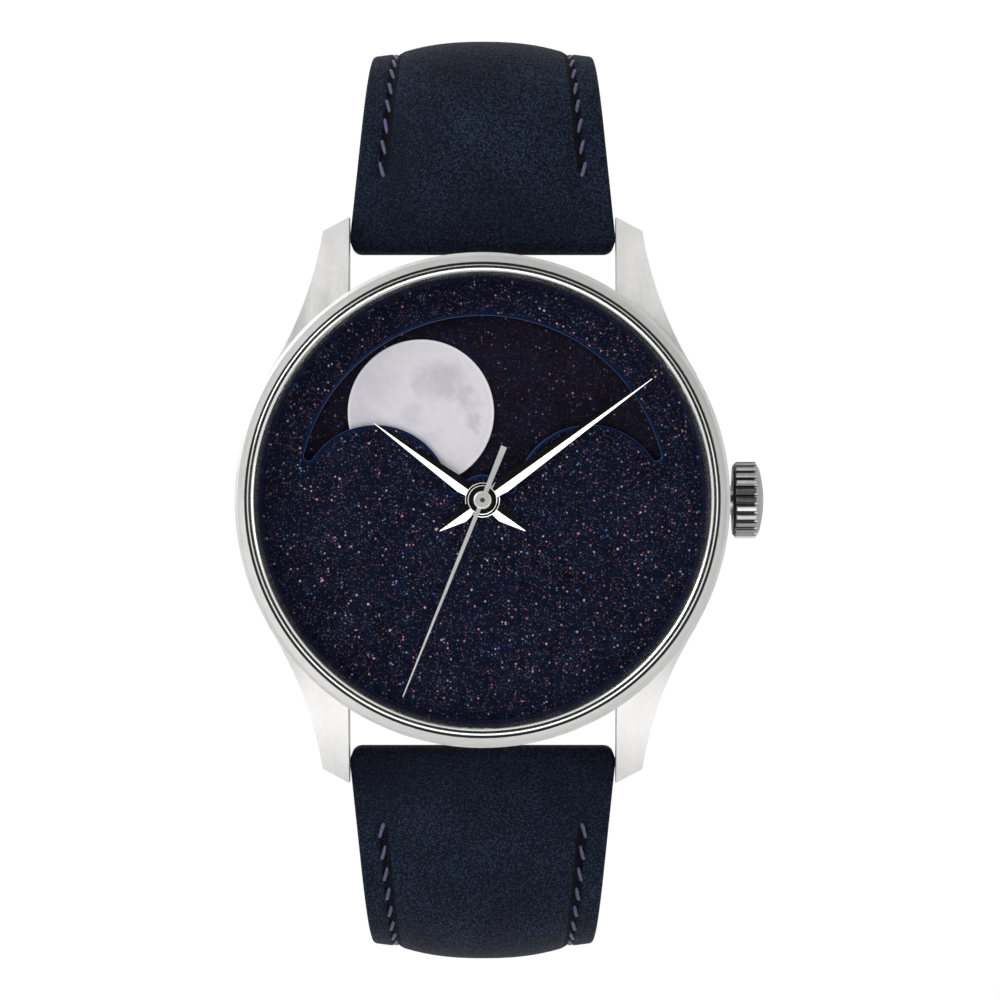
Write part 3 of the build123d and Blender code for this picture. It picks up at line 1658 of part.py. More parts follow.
click_tip = (
    barrel_place[0] + click_tip_radius * cos(radians(click_angle + click_tip_turn)),
    barrel_place[1] + click_tip_radius * sin(radians(click_angle + click_tip_turn)),
)
with BuildPart() as click:
    with BuildSketch(Plane.XY.offset(ratchet_z)):
        with BuildLine():
            Polyline(
                (click_place[0], click_place[1] + click_body_radius),
                (click_place[0], click_place[1] - click_body_radius),
                click_tip,
                close=True,
            )
        make_face()
        with Locations(click_place):
            Circle(click_body_radius)
            Circle(click_post_radius + hole_clearance, mode=Mode.SUBTRACT)
    extrude(amount=wheel_thickness)
save(click, "click")

# Rotor: a heavy half ring on a thin arm, turning on the bearing in the middle
with BuildPart() as rotor:
    half_span = rotor_rim_span / 2
    add(
        raised_sector(
            rotor_z,
            rotor_arm_thickness,
            rotor_hub_radius - rim_width,
            rotor_rim_inner_radius + rim_width,
            rotor_angle - half_span,
            rotor_angle + half_span,
        )
    )
    add(
        raised_sector(
            rotor_z,
            rotor_rim_height,
            rotor_rim_inner_radius,
            rotor_radius,
            rotor_angle - half_span,
            rotor_angle + half_span,
        )
    )
    add(flat_ring(rotor_z, bearing_radius, rotor_hub_radius, rotor_hub_height))
    with BuildSketch(Plane.XY.offset(rotor_z)):
        Circle(bearing_radius + hole_clearance)
    extrude(amount=rotor_rim_height, mode=Mode.SUBTRACT)
save(rotor, "rotor")

with BuildPart() as rotor_bearing:
    add(tube(rotor_z - seat_gap, bridge_z, bearing_radius))
    shoulder_z = rotor_z + rotor_hub_height + seat_gap
    add(flat_ring(shoulder_z, bearing_radius - seat_gap, bearing_shoulder_radius, bridge_z - shoulder_z))
    with BuildSketch(Plane.XY.offset(rotor_z - seat_gap)):
        Rectangle(2 * bearing_radius, screw_slot_width)
    extrude(amount=screw_slot_depth, mode=Mode.SUBTRACT)
save(rotor_bearing, "rotor_bearing")

# Spring bars through the strap ends
with BuildPart() as spring_bars:
    for side in (1, -1):
        with BuildSketch(Plane.YZ):
            with Locations((side * bar_y, bar_z)):
                Circle(bar_radius)
        extrude(amount=lug_gap / 2 - bar_end_gap, both=True)
        with BuildSketch(Plane.YZ):
            with Locations((side * bar_y, bar_z)):
                Circle(bar_pin_radius)
        extrude(amount=lug_gap / 2 + bar_pin_reach, both=True)
save(spring_bars, "spring_bars")


# Strap: two padded halves that leave the lugs, turn down around the wrist and hang open
def strap_point(bends, along):
    """Outward distance, height and heading of the strap's middle line at a distance from the bar."""
    reach, height, heading = bar_y, bar_z, strap_first_heading
    for length, turn in bends:
        run = min(along, length)
        swing = turn * run / length
        chord = run
        if swing:
            chord = 2 * run * sin(radians(swing) / 2) / radians(swing)
        middle = radians(heading + swing / 2)
        reach += chord * cos(middle)
        height += chord * sin(middle)
        heading += swing
        along -= run
    return reach, height, heading


def strap_plane(bends, side, along):
    """The plane across the strap there; its X runs across the strap and its Y out of the skin side."""
    reach, height, heading = strap_point(bends, along)
    tangent = (0, side * cos(radians(heading)), sin(radians(heading)))
    return Plane((0, side * reach, height), x_dir=(-side, 0, 0), z_dir=tangent)


def half_width(along, length, tip):
    """Half the strap's width, from the lugs to the buckle width, and narrowing to a rounded tip."""
    left = max(0.0, 1 - along / strap_taper_length)
    width = strap_half_tail + (strap_half_end - strap_half_tail) * left**strap_taper_power
    past = along - (length - tip_length)
    if tip and past > 0:
        share = past / tip_length
        width = tip_half_width + (width - tip_half_width) * sqrt(max(0.0, 1 - share**tip_round_share))
    return width


def thickness_at(along):
    """The strap's thickness: thin over the bar, padded just past it and thinning to the tail."""
    if along < strap_pad_at:
        return strap_lug_thickness + (strap_pad_thickness - strap_lug_thickness) * along / strap_pad_at
    left = max(0.0, 1 - (along - strap_pad_at) / strap_thin_at)
    return strap_tail_thickness + (strap_pad_thickness - strap_tail_thickness) * left**strap_thin_power_share


def strap_loft(bends, side, start, end, tip, under, over):
    """A length of strap between two heights; over is None for the crowned skin."""
    length = sum(run for run, turn in bends)
    count = max(2, round((end - start) / station_pitch) + 1)
    stops = [start + (end - start) * step / (count - 1) for step in range(count)]
    if tip:
        stops = [along for along in stops if along < end - tip_length]
        stops += [end - tip_length * share for share in tip_stop_shares]
    with BuildPart(mode=Mode.PRIVATE) as half:
        for along in stops:
            width = half_width(along, length, tip)
            with BuildSketch(strap_plane(bends, side, along)):
                with BuildLine():
                    if over is None:
                        top = thickness_at(along) - strap_end_radius
                        settle = min(1.0, along / strap_pad_at)
                        edge_loss = (strap_end_edge_share - strap_edge_share) * settle
                        edge_share = strap_end_edge_share - edge_loss
                        edge = thickness_at(along) * edge_share - strap_end_radius
                        Polyline((width, edge), (width, under), (-width, under), (-width, edge))
                        ThreePointArc((-width, edge), (0, top), (width, edge))
                    else:
                        Polyline((-width, under), (width, under), (width, over), (-width, over), close=True)
                make_face()
        loft()
    return half.part


def strap_hole(bends, side, along, radius):
    """A round punch through the strap, square to its skin."""
    across = strap_plane(bends, side, along)
    with BuildPart(mode=Mode.PRIVATE) as punch:
        with BuildSketch(Plane(across.origin, x_dir=across.x_dir, z_dir=across.y_dir)):
            Circle(radius)
        extrude(amount=strap_pad_thickness, both=True)
    return punch.part


def bar_sleeve(bends, side, along, offset, radius, reach):
    """A cylinder across the strap at a distance along it, offset towards the skin."""
    across = strap_plane(bends, side, along)
    centre = across.origin + across.y_dir * offset
    with BuildPart(mode=Mode.PRIVATE) as sleeve:
        with BuildSketch(Plane(centre, x_dir=across.y_dir, z_dir=across.x_dir)):
            Circle(radius)
        extrude(amount=reach, both=True)
    return sleeve.part


short_bends = [(share * short_length, turn) for share, turn in short_bend_shares]
long_bends = [(share * long_length, turn) for share, turn in long_bend_shares]
lining_under = -strap_end_radius
lining_over = lining_thickness - strap_end_radius
skin_under = lining_over + glue_gap
buckle_offset = buckle_end_radius - strap_end_radius
hole_places = [long_length - hole_from_tip - index * hole_pitch for index in range(hole_count)]
buckle_axis_at = short_length - buckle_end_radius
lining_end = buckle_axis_at - tongue_notch_radius

with BuildPart() as strap_12_leather:
    add(strap_loft(short_bends, 1, 0, lining_start, False, lining_under, None))
    add(strap_loft(short_bends, 1, lining_start, lining_end, False, skin_under, None))
    add(strap_loft(short_bends, 1, lining_end, buckle_axis_at, False, lining_under, None))
    add(bar_sleeve(short_bends, 1, 0, 0, strap_end_radius, strap_half_end))
    add(bar_sleeve(short_bends, 1, buckle_axis_at, buckle_offset, buckle_end_radius, strap_half_tail))
    add(bar_sleeve(short_bends, 1, 0, 0, bar_radius + bar_bore_clearance, lug_gap), mode=Mode.SUBTRACT)
    add(
        bar_sleeve(
            short_bends,
            1,
            buckle_axis_at,
            buckle_offset,
            buckle_bar_radius + buckle_bore_clearance,
            lug_gap,
        ),
        mode=Mode.SUBTRACT,
    )
    notch = bar_sleeve(
        short_bends, 1, buckle_axis_at, buckle_offset, tongue_notch_radius, tongue_width / 2 + tongue_notch_gap
    )
    add(notch, mode=Mode.SUBTRACT)
save(strap_12_leather, "strap_12_leather")

with BuildPart() as strap_12_lining:
    add(
        strap_loft(
            short_bends, 1, lining_start + glue_gap, lining_end - glue_gap, False, lining_under, lining_over
        )
    )
save(strap_12_lining, "strap_12_lining")

with BuildPart() as strap_6_leather:
    add(strap_loft(long_bends, -1, 0, lining_start, False, lining_under, None))
    add(strap_loft(long_bends, -1, lining_start, long_length, True, skin_under, None))
    add(bar_sleeve(long_bends, -1, 0, 0, strap_end_radius, strap_half_end))
    add(bar_sleeve(long_bends, -1, 0, 0, bar_radius + bar_bore_clearance, lug_gap), mode=Mode.SUBTRACT)
    for along in hole_places:
        add(strap_hole(long_bends, -1, along, hole_radius), mode=Mode.SUBTRACT)
save(strap_6_leather, "strap_6_leather")

with BuildPart() as strap_6_lining:
    add(strap_loft(long_bends, -1, lining_start + glue_gap, long_length, True, lining_under, lining_over))
    for along in hole_places:
        add(strap_hole(long_bends, -1, along, hole_radius), mode=Mode.SUBTRACT)
save(strap_6_lining, "strap_6_lining")

# Pin buckle at the end of the short half; its plane's Y runs along the strap and its Z out of the skin
tail_plane = strap_plane(short_bends, 1, buckle_axis_at)
buckle_centre = tail_plane.origin + tail_plane.y_dir * buckle_offset
buckle_plane = Plane(buckle_centre, x_dir=(1, 0, 0), z_dir=tail_plane.y_dir)
buckle_side_plane = Plane(buckle_centre, x_dir=tail_plane.z_dir, z_dir=tail_plane.x_dir * -1)
buckle_outer_half = buckle_inner_half + buckle_leg_width

with BuildPart() as buckle_frame:
    with BuildSketch(buckle_plane.offset(-buckle_thickness / 2)):
        with Locations((0, (buckle_length - buckle_heel) / 2)):
            RectangleRounded(2 * buckle_outer_half, buckle_length + buckle_heel, buckle_round)
        with Locations((0, (buckle_length - buckle_cross_depth - buckle_heel - overrun) / 2)):
            opening_length = buckle_length - buckle_cross_depth + buckle_heel + overrun
            Rectangle(2 * buckle_inner_half, opening_length, mode=Mode.SUBTRACT)
    extrude(amount=buckle_thickness)
    skin_side = Axis(buckle_centre, buckle_plane.z_dir)
    chamfer(buckle_frame.faces().sort_by(skin_side)[-1].outer_wire().edges(), length=buckle_edge)
    with BuildSketch(buckle_side_plane):
        Circle(bar_pin_radius + hole_clearance)
    extrude(amount=buckle_inner_half + bar_pin_reach + hole_clearance, both=True, mode=Mode.SUBTRACT)
save(buckle_frame, "buckle_frame")

with BuildPart() as buckle_bar:
    with BuildSketch(buckle_side_plane):
        Circle(buckle_bar_radius)
    extrude(amount=buckle_inner_half - bar_end_gap, both=True)
    with BuildSketch(buckle_side_plane):
        Circle(bar_pin_radius)
    extrude(amount=buckle_inner_half + bar_pin_reach, both=True)
save(buckle_bar, "buckle_bar")

with BuildPart() as buckle_tongue:
    with BuildSketch(buckle_side_plane):
        with BuildLine():
            rest_z = buckle_thickness / 2 + touch_gap
            Polyline(
                (0, 0),
                (buckle_length - buckle_cross_depth - tongue_overhang, rest_z),
                (buckle_length + tongue_overhang, rest_z),
                (buckle_length + tongue_overhang, rest_z + tongue_thickness / 2),
                (buckle_length - buckle_cross_depth, rest_z + tongue_thickness),
                (0, tongue_sleeve_radius),
                close=True,
            )
        make_face()
        Circle(tongue_sleeve_radius)
        Circle(buckle_bar_radius + buckle_bore_clearance, mode=Mode.SUBTRACT)
    extrude(amount=tongue_width / 2, both=True)
save(buckle_tongue, "buckle_tongue")


def keeper(along):
    """A leather loop around the strap, tall enough for the other half's tail."""
    with BuildPart(mode=Mode.PRIVATE) as loop:
        across = strap_plane(short_bends, 1, along - keeper_width / 2)
        top = thickness_at(along) - strap_end_radius + keeper_room
        bottom = -strap_end_radius - keeper_gap
        middle = (top + bottom) / 2
        inner = 2 * (half_width(along - keeper_width, short_length, False) + keeper_side_gap)
        with BuildSketch(across):
            with Locations((0, middle)):
                RectangleRounded(inner + 2 * keeper_wall, top - bottom + 2 * keeper_wall, keeper_wall)
                Rectangle(inner, top - bottom, mode=Mode.SUBTRACT)
        extrude(amount=keeper_width)
    return loop.part


with BuildPart() as fixed_keeper:
    add(keeper(keeper_fixed_at))
save(fixed_keeper, "fixed_keeper")

with BuildPart() as free_keeper:
    add(keeper(keeper_free_at))
save(free_keeper, "free_keeper")

# Where the buckle turns, and which way the strap runs there
print("strap tail heading", round(strap_point(short_bends, buckle_axis_at)[2], 3))
print("buckle axis", [round(value, 4) for value in buckle_centre])
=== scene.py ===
"""Moon phase wristwatch on a navy leather strap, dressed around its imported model.

The sections follow the watch as it is put together: case, movement, dial side, glass, crown, strap
and buckle.
"""

import math
import random

import bpy
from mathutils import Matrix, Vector


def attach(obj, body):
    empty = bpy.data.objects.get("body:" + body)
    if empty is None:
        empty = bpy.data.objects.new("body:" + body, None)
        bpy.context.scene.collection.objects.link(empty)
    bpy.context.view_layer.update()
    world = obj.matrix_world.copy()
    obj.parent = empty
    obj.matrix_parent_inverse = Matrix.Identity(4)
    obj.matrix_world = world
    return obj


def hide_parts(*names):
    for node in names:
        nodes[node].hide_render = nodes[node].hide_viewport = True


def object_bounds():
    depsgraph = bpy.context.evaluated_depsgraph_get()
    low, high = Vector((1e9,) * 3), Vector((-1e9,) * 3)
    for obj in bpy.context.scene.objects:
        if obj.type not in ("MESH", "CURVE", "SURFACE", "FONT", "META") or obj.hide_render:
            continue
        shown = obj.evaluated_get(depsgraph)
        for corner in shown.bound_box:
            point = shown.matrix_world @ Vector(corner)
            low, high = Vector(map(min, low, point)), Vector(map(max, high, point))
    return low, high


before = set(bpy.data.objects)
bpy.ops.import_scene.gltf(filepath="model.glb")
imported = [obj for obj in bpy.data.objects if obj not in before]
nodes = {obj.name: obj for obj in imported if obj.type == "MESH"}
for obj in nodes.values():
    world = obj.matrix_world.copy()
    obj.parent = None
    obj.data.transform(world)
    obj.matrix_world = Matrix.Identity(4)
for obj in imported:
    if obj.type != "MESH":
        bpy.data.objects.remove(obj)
cad_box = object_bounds()

# Case middle: a stainless steel block, turned round and milled with its four lugs.
# Flanks and lug tops are brushed along the watch, the flat rim on top is brushed in rings.
steel_colour = (0.95, 0.945, 0.935, 1)
brushed_shade = (0.84, 0.835, 0.83, 1)
case_roughness = (0.5, 0.6)
case_wear = 0.05
flank_lines = (5200, 90, 5200)
rim_lines = (9000, 700, 400)
ring_run = 0.004
rim_top_z = 0.00915
brush_depth = 0.00001


class Finish:
    """Places and joins shader nodes in a material or a node group."""

    def __init__(self, tree):
        self.tree = tree

    def add(self, kind, settings=None, **inputs):
        """A node of that kind, with its settings and with its inputs set or linked by socket name."""
        node = self.tree.nodes.new("ShaderNode" + kind)
        for key, value in (settings or {}).items():
            setattr(node, key, value)
        for key, value in inputs.items():
            self.feed(node, key.replace("_", " "), value)
        return node

    def feed(self, node, key, value):
        """Sets one input, or links it where the value is another node's output."""
        socket = node.inputs[int(key)] if key.isdigit() else node.inputs[key]
        if isinstance(value, bpy.types.NodeSocket):
            self.tree.links.new(value, socket)
        else:
            socket.default_value = value

    def fill(self, kind, settings, *values):
        """The outputs of a node of that kind, with its inputs set or linked in their order."""
        node = self.add(kind, settings)
        for index, value in enumerate(values):
            self.feed(node, str(index), value)
        return node.outputs

    def sum(self, operation, *values, clamp=False):
        """A number worked out from other numbers."""
        return self.fill("Math", {"operation": operation, "use_clamp": clamp}, *values)[0]

    def vector(self, operation, *values):
        """A vector worked out from other vectors."""
        return self.fill("VectorMath", {"operation": operation}, *values)[0]

    def measure(self, operation, *values):
        """A number taken from two vectors, such as their distance."""
        return self.fill("VectorMath", {"operation": operation}, *values)["Value"]

    def scaled(self, vector, factor):
        """A vector times a fixed factor."""
        return self.add("VectorMath", {"operation": "SCALE"}, Scale=factor, **{"0": vector}).outputs[0]

    def radius(self, first, second):
        """The distance from an axis, from the two coordinates across it."""
        squares = self.sum("ADD", self.sum("POWER", first, 2.0), self.sum("POWER", second, 2.0))
        return self.sum("SQRT", squares)

    def blend(self, share, first, second):
        """Two colours mixed by a share."""
        return self.add("Mix", {"data_type": "RGBA"}, **{"0": share, "6": first, "7": second}).outputs[2]

    def span(self, value, low, high, new_low=0.0, new_high=1.0):
        """A value carried from one range to another, clamped."""
        return self.fill("MapRange", None, value, low, high, new_low, new_high)[0]

    def place(self, vector=None):
        """The given vector, or else the surface's own coordinates, in metres in the watch's frame."""
        return self.add("TexCoord").outputs["Object"] if vector is None else vector

    def split(self, vector=None):
        """The three coordinates of a vector, or of the surface's own place."""
        return self.add("SeparateXYZ", Vector=self.place(vector)).outputs

    def facing_up(self):
        """How far the bare face looks up: 1 where it lies level, 0 where it stands upright."""
        return self.split(self.add("NewGeometry").outputs["True Normal"])[2]

    def noise(self, scale, detail, vector=None, **more):
        """The outputs of a cloud of noise, over a vector or the surface's own place."""
        return self.add("TexNoise", Vector=self.place(vector), Scale=scale, Detail=detail, **more).outputs

    def group(self, tree, vector=None, **inputs):
        """The outputs of an effect, laid over a vector or the surface's own place."""
        return self.add("Group", {"node_tree": tree}, Vector=self.place(vector), **inputs).outputs

    def mix_shaders(self, share, first, second):
        """Two shaders mixed by a share."""
        return self.fill("MixShader", None, share, first, second)[0]


class Material(Finish):
    """A named material with one Principled shader."""

    def __init__(self, name, **values):
        self.made = bpy.data.materials.new(name)
        self.made.use_nodes = True
        super().__init__(self.made.node_tree)
        self.shader = self.tree.nodes["Principled BSDF"]
        for key, value in values.items():
            self.set(key.replace("_", " "), value)

    def set(self, key, value):
        """Sets or links one input of the Principled shader."""
        self.feed(self.shader, key, value)

    def show(self, shader):
        """Shows another shader in place of the Principled one."""
        self.feed(self.tree.nodes["Material Output"], "Surface", shader)

    def bump(self, height, distance, strength=1.0):
        """Raises the surface by a height of 0 to 1 times a distance."""
        node = self.add("Bump", Strength=strength, Distance=distance, Height=height)
        self.set("Normal", node.outputs["Normal"])


def effect(name, inputs, outputs):
    """An empty node group: its maker, the sockets that it takes in and the node that gives its results."""
    group = bpy.data.node_groups.new(name, "ShaderNodeTree")
    for way, sockets in (("INPUT", inputs), ("OUTPUT", outputs)):
        for label, kind in sockets.items():
            group.interface.new_socket(name=label, in_out=way, socket_type="NodeSocket" + kind)
    return Finish(group), group.nodes.new("NodeGroupInput").outputs, group.nodes.new("NodeGroupOutput")


def brushed_effect():
    """Fine parallel grinding lines: a shade and a height that are stretched along one direction."""
    make, take, give = effect(
        "grinding_lines", {"Vector": "Vector", "Stretch": "Vector"}, {"Shade": "Float", "Height": "Float"}
    )
    drawn = make.vector("MULTIPLY", take["Vector"], take["Stretch"])
    fine = make.noise(1.0, 5.0, drawn, Roughness=0.65)[0]
    broad = make.noise(0.13, 2.0, drawn)[0]
    shade = make.sum("MULTIPLY_ADD", broad, 0.5, make.sum("MULTIPLY", fine, 0.5))
    make.feed(give, "Shade", make.span(shade, 0.35, 0.65))
    make.feed(give, "Height", fine)
    return make.tree


def wear_effect():
    """Fine handling marks: a faint cloud of hair scratches and smudges for polished metal."""
    make, take, give = effect("handling_marks", {"Vector": "Vector"}, {"Marks": "Float"})
    smear = make.noise(260.0, 5.0, take["Vector"], Distortion=1.2)[0]
    hair = make.noise(5200.0, 2.0, take["Vector"])[0]
    make.feed(give, "Marks", make.span(make.sum("MULTIPLY", smear, hair), 0.15, 0.4))
    return make.tree


grinding_lines = brushed_effect()
handling_marks = wear_effect()


def rings_place(make):
    """Coordinates that run outward, around and up, for finishes turned on a lathe."""
    x, y, z = make.split()
    around = make.sum("MULTIPLY", make.sum("ARCTAN2", y, x), ring_run)
    return make.add("CombineXYZ", X=make.radius(x, y), Y=around, Z=z).outputs[0]


def darker(colour, share):
    """A colour brought down to a share of itself."""
    return tuple(share * value for value in colour[:3]) + (1,)


def satin_steel(name, colour, lines, low_rough, high_rough):
    """Steel ground with parallel lines."""
    steel = Material(name, Metallic=1.0)
    ground = steel.group(grinding_lines, Stretch=lines)
    worn = steel.group(handling_marks)["Marks"]
    steel.set("Base Color", steel.blend(ground["Shade"], darker(colour, 0.86), colour))
    rough = steel.span(ground["Shade"], 0.0, 1.0, low_rough, high_rough)
    steel.set("Roughness", steel.sum("MULTIPLY_ADD", worn, 0.04, rough))
    steel.bump(ground["Height"], brush_depth)
    return steel


def dress(material, *names):
    """Gives CAD pieces their material."""
    for name in names:
        slots = nodes[name].data.materials
        slots.clear()
        slots.append(material.made)


case_steel = Material("case_steel", Metallic=1.0)
on_rim = case_steel.sum("GREATER_THAN", case_steel.split()[2], rim_top_z)
flank_ground = case_steel.group(grinding_lines, Stretch=flank_lines)
rim_ground = case_steel.group(grinding_lines, rings_place(case_steel), Stretch=rim_lines)
case_shade = case_steel.span(on_rim, 0.0, 1.0, flank_ground["Shade"], rim_ground["Shade"])
case_height = case_steel.span(on_rim, 0.0, 1.0, flank_ground["Height"], rim_ground["Height"])
case_rough = case_steel.span(case_shade, 0, 1, *case_roughness)
case_marks = case_steel.group(handling_marks)["Marks"]
case_steel.set("Base Color", case_steel.blend(case_shade, brushed_shade, steel_colour))
case_steel.set("Roughness", case_steel.sum("MULTIPLY_ADD", case_marks, case_wear, case_rough))
case_steel.bump(case_height, brush_depth)
dress(case_steel, "case_middle")

# Case back: a steel ring turned on a lathe, held by six slotted screws, with a glass window in the middle.
# Gasket and crown seal are plain black rubber.
back_lines = (7000, 300, 300)
back_shade = (0.6, 0.6, 0.6, 1)
window_tint = (0.97, 0.985, 0.98, 1)
rubber_tones = ((0.012, 0.012, 0.012, 1), (0.03, 0.03, 0.03, 1))
back_steel = Material("back_steel", Metallic=1.0)
back_ground = back_steel.group(grinding_lines, rings_place(back_steel), Stretch=back_lines)
back_steel.set("Base Color", back_steel.blend(back_ground["Shade"], back_shade, steel_colour))
back_steel.set("Roughness", back_steel.span(back_ground["Shade"], 0, 1, 0.22, 0.34))
back_steel.bump(back_ground["Height"], brush_depth)
dress(back_steel, "case_back")
dress(satin_steel("screw_steel", (0.7, 0.7, 0.71, 1), (400, 400, 400), 0.12, 0.2), "case_back_screws")


def clouded(name, scale, tones, **values):
    """A material that drifts between two tones, and the cloud that it drifts by."""
    drifting = Material(name, **values)
    cloud = drifting.noise(scale, 3.0)[0]
    drifting.set("Base Color", drifting.blend(cloud, *tones))
    return drifting, cloud


black_rubber, rubber_dust = clouded("black_rubber", 3000.0, rubber_tones, Roughness=0.6)
black_rubber.bump(rubber_dust, 0.00001)
dress(black_rubber, "case_back_gasket", "crystal_gasket", "crown_seal")


def clear_glass(name, tint, refraction):
    """Glass that lets light through to what lies under it."""
    glass = Material(
        name, Base_Color=tint, Metallic=0.0, Transmission_Weight=1.0, Roughness=0.0, IOR=refraction
    )
    ray = glass.add("LightPath").outputs
    lighting = glass.sum("MAXIMUM", ray["Is Shadow Ray"], ray["Is Diffuse Ray"])
    lighting = glass.sum("MAXIMUM", lighting, ray["Is Glossy Ray"])
    clear = glass.add("BsdfTransparent").outputs[0]
    glass.show(glass.mix_shaders(lighting, glass.shader.outputs[0], clear))
    return glass


dress(clear_glass("window_glass", window_tint, 1.45), "case_back_window")

# Movement: plated brass plate and bridges around a gilt going train, held in the case by a plated ring.
# The plate is finished with small overlapping circles, the bridges and the winding weight with broad stripes.
stripe_pitch = 0.0014
stripe_lean = 0.35
circle_cells = 1250.0
plated_lines = (2500, 2500, 2500)
gilt_colour = (0.86, 0.66, 0.34, 1)
plated_colour = (0.7, 0.69, 0.66, 1)
ruby_tones = ((0.32, 0.005, 0.04, 1), (0.75, 0.03, 0.15, 1))


def stripes_effect():
    """Broad ground stripes side by side, each shaded from one edge to the other."""
    make, take, give = effect("ground_stripes", {"Vector": "Vector"}, {"Shade": "Float"})
    x, y, _ = make.split(take["Vector"])
    leaning = make.sum("ADD", x, make.sum("MULTIPLY", y, stripe_lean))
    step = make.sum("FRACT", make.sum("DIVIDE", leaning, stripe_pitch))
    make.feed(give, "Shade", make.sum("POWER", step, 1.6))
    return make.tree


def plated(name, colour, striped):
    """Plated brass, striped or covered with small turned circles."""
    metal = Material(name, Metallic=1.0)
    if striped:
        shade = metal.group(ground_stripes)["Shade"]
    else:
        shade = metal.add("TexVoronoi", Vector=metal.place(), Scale=circle_cells).outputs["Distance"]
    lines = metal.group(grinding_lines, Stretch=plated_lines)["Shade"]
    metal.set("Base Color", metal.blend(shade, colour, darker(colour, 0.62)))
    metal.set("Roughness", metal.span(lines, 0, 1, 0.2, 0.36))
    metal.bump(shade, brush_depth)
    return metal


ground_stripes = stripes_effect()
dress(plated("circled_plate", plated_colour, False), "mainplate", "movement_ring", "casing_clamps")
dress(plated("striped_bridge", plated_colour, True), "barrel_bridge", "train_bridge", "balance_cock")
dress(plated("striped_weight", gilt_colour, True), "rotor")
dress(
    satin_steel("gilt_wheel", gilt_colour, (1200, 1200, 1200), 0.22, 0.34),
    *("centre_wheel", "third_wheel", "fourth_wheel", "balance_wheel", "mainspring_barrel"),
    *("minute_wheel", "hour_wheel", "day_wheel", "moon_wheel", "moon_ring_gear"),
)
dress(
    satin_steel("hard_steel", (0.62, 0.62, 0.64, 1), (1500, 1500, 1500), 0.14, 0.28),
    *("escape_wheel", "pallet_fork", "cannon_pinion", "barrel_arbor", "ratchet_wheel", "crown_wheel"),
    *("click", "winding_stem", "clutch_pinion", "setting_lever", "rotor_bearing", "crown_tube"),
)
dress(satin_steel("blued_steel", (0.06, 0.12, 0.42, 1), (1500, 1500, 1500), 0.16, 0.26), "movement_screws")
spring_steel = satin_steel("spring_steel", (0.3, 0.34, 0.46, 1), (3000, 3000, 3000), 0.2, 0.3)
dress(spring_steel, "hairspring", "mainspring")
dress(clouded("ruby", 2500.0, ruby_tones, Roughness=0.08, Coat_Weight=0.6)[0], "jewels")

# Moon disc and moons: a dark disc with fine metal flecks and painted glints carries two raised moons.
# Each moon has pale plains, grey seas and a painted highlight round its rim; only one stands in the dial's
# window.
moon_radius = 0.00597
moon_offset = 0.00872
moon_angle = 125.2
moon_light = (0.71, 0.695, 0.73, 1)
moon_grey = (0.53, 0.515, 0.555, 1)
moon_rim_highlight = (0.88, 0.87, 0.9, 1)
# Each sea's place across and up from the moon's middle and its reach, in moon radii, and its depth of tone.
moon_seas = (
    (0.32, 0.42, 0.36, 0.9),
    (0.62, 0.2, 0.26, 0.7),
    (0.05, 0.36, 0.26, 0.6),
    (0.68, -0.12, 0.16, 0.7),
    (-0.12, 0.0, 0.18, 0.4),
    (-0.62, 0.35, 0.4, 0.35),
    (-0.85, -0.1, 0.35, 0.45),
    (0.1, -0.35, 0.22, 0.25),
)
sea_core = 0.35
rim_from, rim_to = 0.955, 0.985
shore_shift = 0.0034
night_tones = ((0.0065, 0.0045, 0.008, 1), (0.0075, 0.008, 0.0185, 1))
night_gain = 0.45
fleck_cells = 3600.0
fleck_warp = 0.00012
# Each layer's cells per base cell, rarity, reach in its cell and light: small points, fine points and dust.
fleck_layers = ((1.0, 0.74, 0.34, 1.0), (0.6, 0.86, 0.26, 1.0), (1.9, 0.25, 0.5, 0.2))
# Colours of the bright points: partly the flecks' own colour, partly painted glints.
fleck_and_glint_colours = (
    (0.0, (0.78, 0.34, 0.38, 1)),
    (0.36, (0.5, 0.53, 0.66, 1)),
    (0.56, (0.12, 0.27, 0.58, 1)),
    (0.82, (0.72, 0.52, 0.64, 1)),
)


def flecks_effect():
    """Metal flecks in glass: a dense dim dust under sparse bright points of pink, white and blue, the flecks'
    own colour with their glints painted in.
    """
    make, take, give = effect("glass_flecks_and_glints", {"Vector": "Vector"}, {"Color": "Color", "Mask": "Float"})
    warp = make.noise(2600.0, 1.0, take["Vector"])["Color"]
    seat = make.vector("ADD", take["Vector"], make.scaled(warp, fleck_warp))
    layers = []
    for size_share, rarity, reach, light in fleck_layers:
        cell = make.add("TexVoronoi", Vector=seat, Scale=fleck_cells * size_share).outputs
        chance, hue, _ = make.add("SeparateColor", Color=cell["Color"]).outputs
        lit = make.sum("POWER", make.span(chance, rarity, 1.0), 1.6)
        near = make.span(cell["Distance"], reach * 0.3, reach, light, 0.0)
        ramp = make.add("ValToRGB", Fac=hue)
        ramp.color_ramp.interpolation = "CONSTANT"
        stops = ramp.color_ramp.elements
        stops.remove(stops[1])
        stops[0].color = fleck_and_glint_colours[0][1]
        for position, colour in fleck_and_glint_colours[1:]:
            stops.new(position).color = colour
        layers.append((make.sum("MULTIPLY", lit, near), ramp.outputs[0]))
    (small, small_colour), (fine, fine_colour), (dust, dust_colour) = layers
    colour = make.blend(make.sum("GREATER_THAN", fine, small), small_colour, fine_colour)
    bright = make.sum("MAXIMUM", small, fine)
    make.feed(give, "Color", make.blend(make.sum("GREATER_THAN", dust, bright), colour, dust_colour))
    make.feed(give, "Mask", make.sum("MAXIMUM", bright, dust))
    return make.tree


